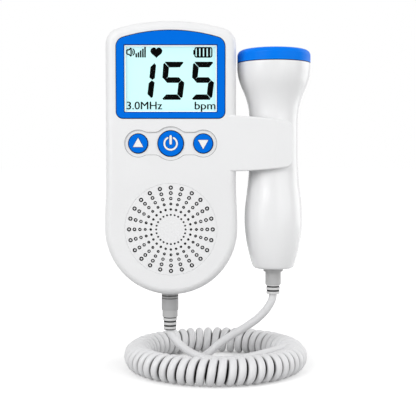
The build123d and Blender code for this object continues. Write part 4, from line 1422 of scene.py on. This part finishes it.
def lettering(name, text, x0, x1):
    # text laid out, made a mesh, fitted to its place and stood up on the glass
    font = bpy.data.curves.new(name, "FONT")
    font.body = text
    font.extrude = displayFacts["inkDepth"] * mm / 2
    font.resolution_u = 4
    holder = newPiece(name + "Text", font)
    graph = bpy.context.evaluated_depsgraph_get()
    mesh = bpy.data.meshes.new_from_object(holder.evaluated_get(graph), depsgraph=graph)
    bpy.data.objects.remove(holder)
    xs = [v.co.x for v in mesh.vertices]
    wide = (x1 - x0) * mm / (max(xs) - min(xs))
    tall = displayFacts["capHeight"] * mm / displayFacts["fontCap"]
    base = displayFacts["textBase"]
    depth = displayFacts["glassY"] * mm - displayFacts["inkDepth"] * mm / 2
    for v in mesh.vertices:
        v.co = ((x0 * mm) + (v.co.x - min(xs)) * wide, depth + v.co.z, base * mm + v.co.y * tall)
    work = bmesh.new()
    work.from_mesh(mesh)
    bmesh.ops.remove_doubles(work, verts=work.verts, dist=1e-7)
    bmesh.ops.recalc_face_normals(work, faces=work.faces)
    bold = displayFacts["bold"] * mm
    bmesh.ops.translate(work, verts=work.verts, vec=(-bold / 2, 0, 0))
    twin = bmesh.ops.duplicate(work, geom=work.verts[:] + work.edges[:] + work.faces[:])["geom"]
    moved = [v for v in twin if isinstance(v, bmesh.types.BMVert)]
    bmesh.ops.translate(work, verts=moved, vec=(bold, 0, 0))
    work.to_mesh(mesh)
    work.free()
    piece = newPiece(name, mesh, finishes["lcdInk"])
    return rideAs(piece, "lcd_panel", replaced=False)


iconFacts = {
    "line": 0.62,
    "base": 48.85,
    "volume": [(-16.74, 50.8), (-15.66, 51.35), (-14.58, 52.25), (-13.5, 53.05), (-12.45, 54.05)],
    "volumeWidth": 0.75,
    "speaker": [
        (-21.3, 50.4),
        (-21.3, 52.5),
        (-20.3, 52.5),
        (-19.25, 53.5),
        (-19.25, 49.4),
        (-20.3, 50.4),
        (-21.3, 50.4),
    ],
    "soundCentre": (-19.35, 51.45),
    "arcs": [(0.75, 1.2, 50), (1.5, 2.05, 62)],
    "heart": (-6.95, 51.0, 5.8, 5.3),
    "battery": (11.85, 20.05, 49.05, 53.55),
    "batteryCorner": 0.45,
    "batteryNub": (0.85, 0.15, 1.15),
    "cells": (12.7, 1.8, 1.2, 4),
    "border": 0.75,
}


def makeDisplay():
    glass, ink = displayFacts["glassY"], displayFacts["glassY"] - displayFacts["inkDepth"]
    facts = iconFacts
    digits = [bar for lit, x in displayFacts["digits"] for bar in digitBars(lit, x)]
    prisms("displayDigits", digits, glass, ink, "lcdInk", "lcd_panel")
    left, right, low, high = facts["battery"]
    first, pitch, width, count = facts["cells"]
    corner = facts["batteryCorner"]
    case = [
        (left + corner, low),
        (right - corner, low),
        (right, low + corner),
        (right, high - corner),
        (right - corner, high),
        (left + corner, high),
        (left, high - corner),
        (left, low + corner),
        (left + corner, low),
    ]
    start, end, inset = facts["batteryNub"]
    icons = [heart(*facts["heart"]), box(left - start, left - end, low + inset, high - inset)]
    for i in range(count):
        cell = first + i * pitch
        icons.append(box(cell, cell + width, low + 0.1, high - 0.1))
    prisms("displayIcons", icons, glass, ink, "lcdInk", "lcd_panel")
    half = facts["volumeWidth"] / 2
    lines = [box(x - half, x + half, facts["base"], top) for x, top in facts["volume"]]
    lines += stroke(case, facts["line"]) + stroke(facts["speaker"], facts["line"])
    for inner, outer, spread in facts["arcs"]:
        lines.append(arcBand(facts["soundCentre"], inner, outer, -spread, spread, 12))
    prisms("displayOutlines", lines, glass, ink, "lcdGrey", "lcd_panel")
    for name, (text, x0, x1) in displayFacts["texts"].items():
        lettering(name, text, x0, x1)
    window = outlineAt("display_frame", displayFacts["windowCutY"])[1]
    # the white border glows with painted light
    rim("displayBorder", window, -facts["border"], 0.4, glass, ink, "lcdBorderGlow", "lcd_panel")
    rim("lensBorder", window, *displayFacts["lensRim"], "shadowLine", "display_window")
    outer = outlineAt("display_frame", displayFacts["frameCutY"])[0]
    rim("frameGap", outer, *displayFacts["frameRim"], "shadowLine", "display_frame")


def makePodEdge():
    # a fine grey line of painted shade round the wavy recess of the buttons
    near, far = buttonFacts["podReach"]
    for loop in outlineAt("front_shell", buttonFacts["podCutY"]):
        if near < max(x for x, _ in loop) < far and max(z for _, z in loop) < far:
            rim("podEdge", loop, *buttonFacts["podRim"], "softLine", "front_shell")


makeDisplay()
makePodEdge()
print("display done")

bpy.context.view_layer.update()
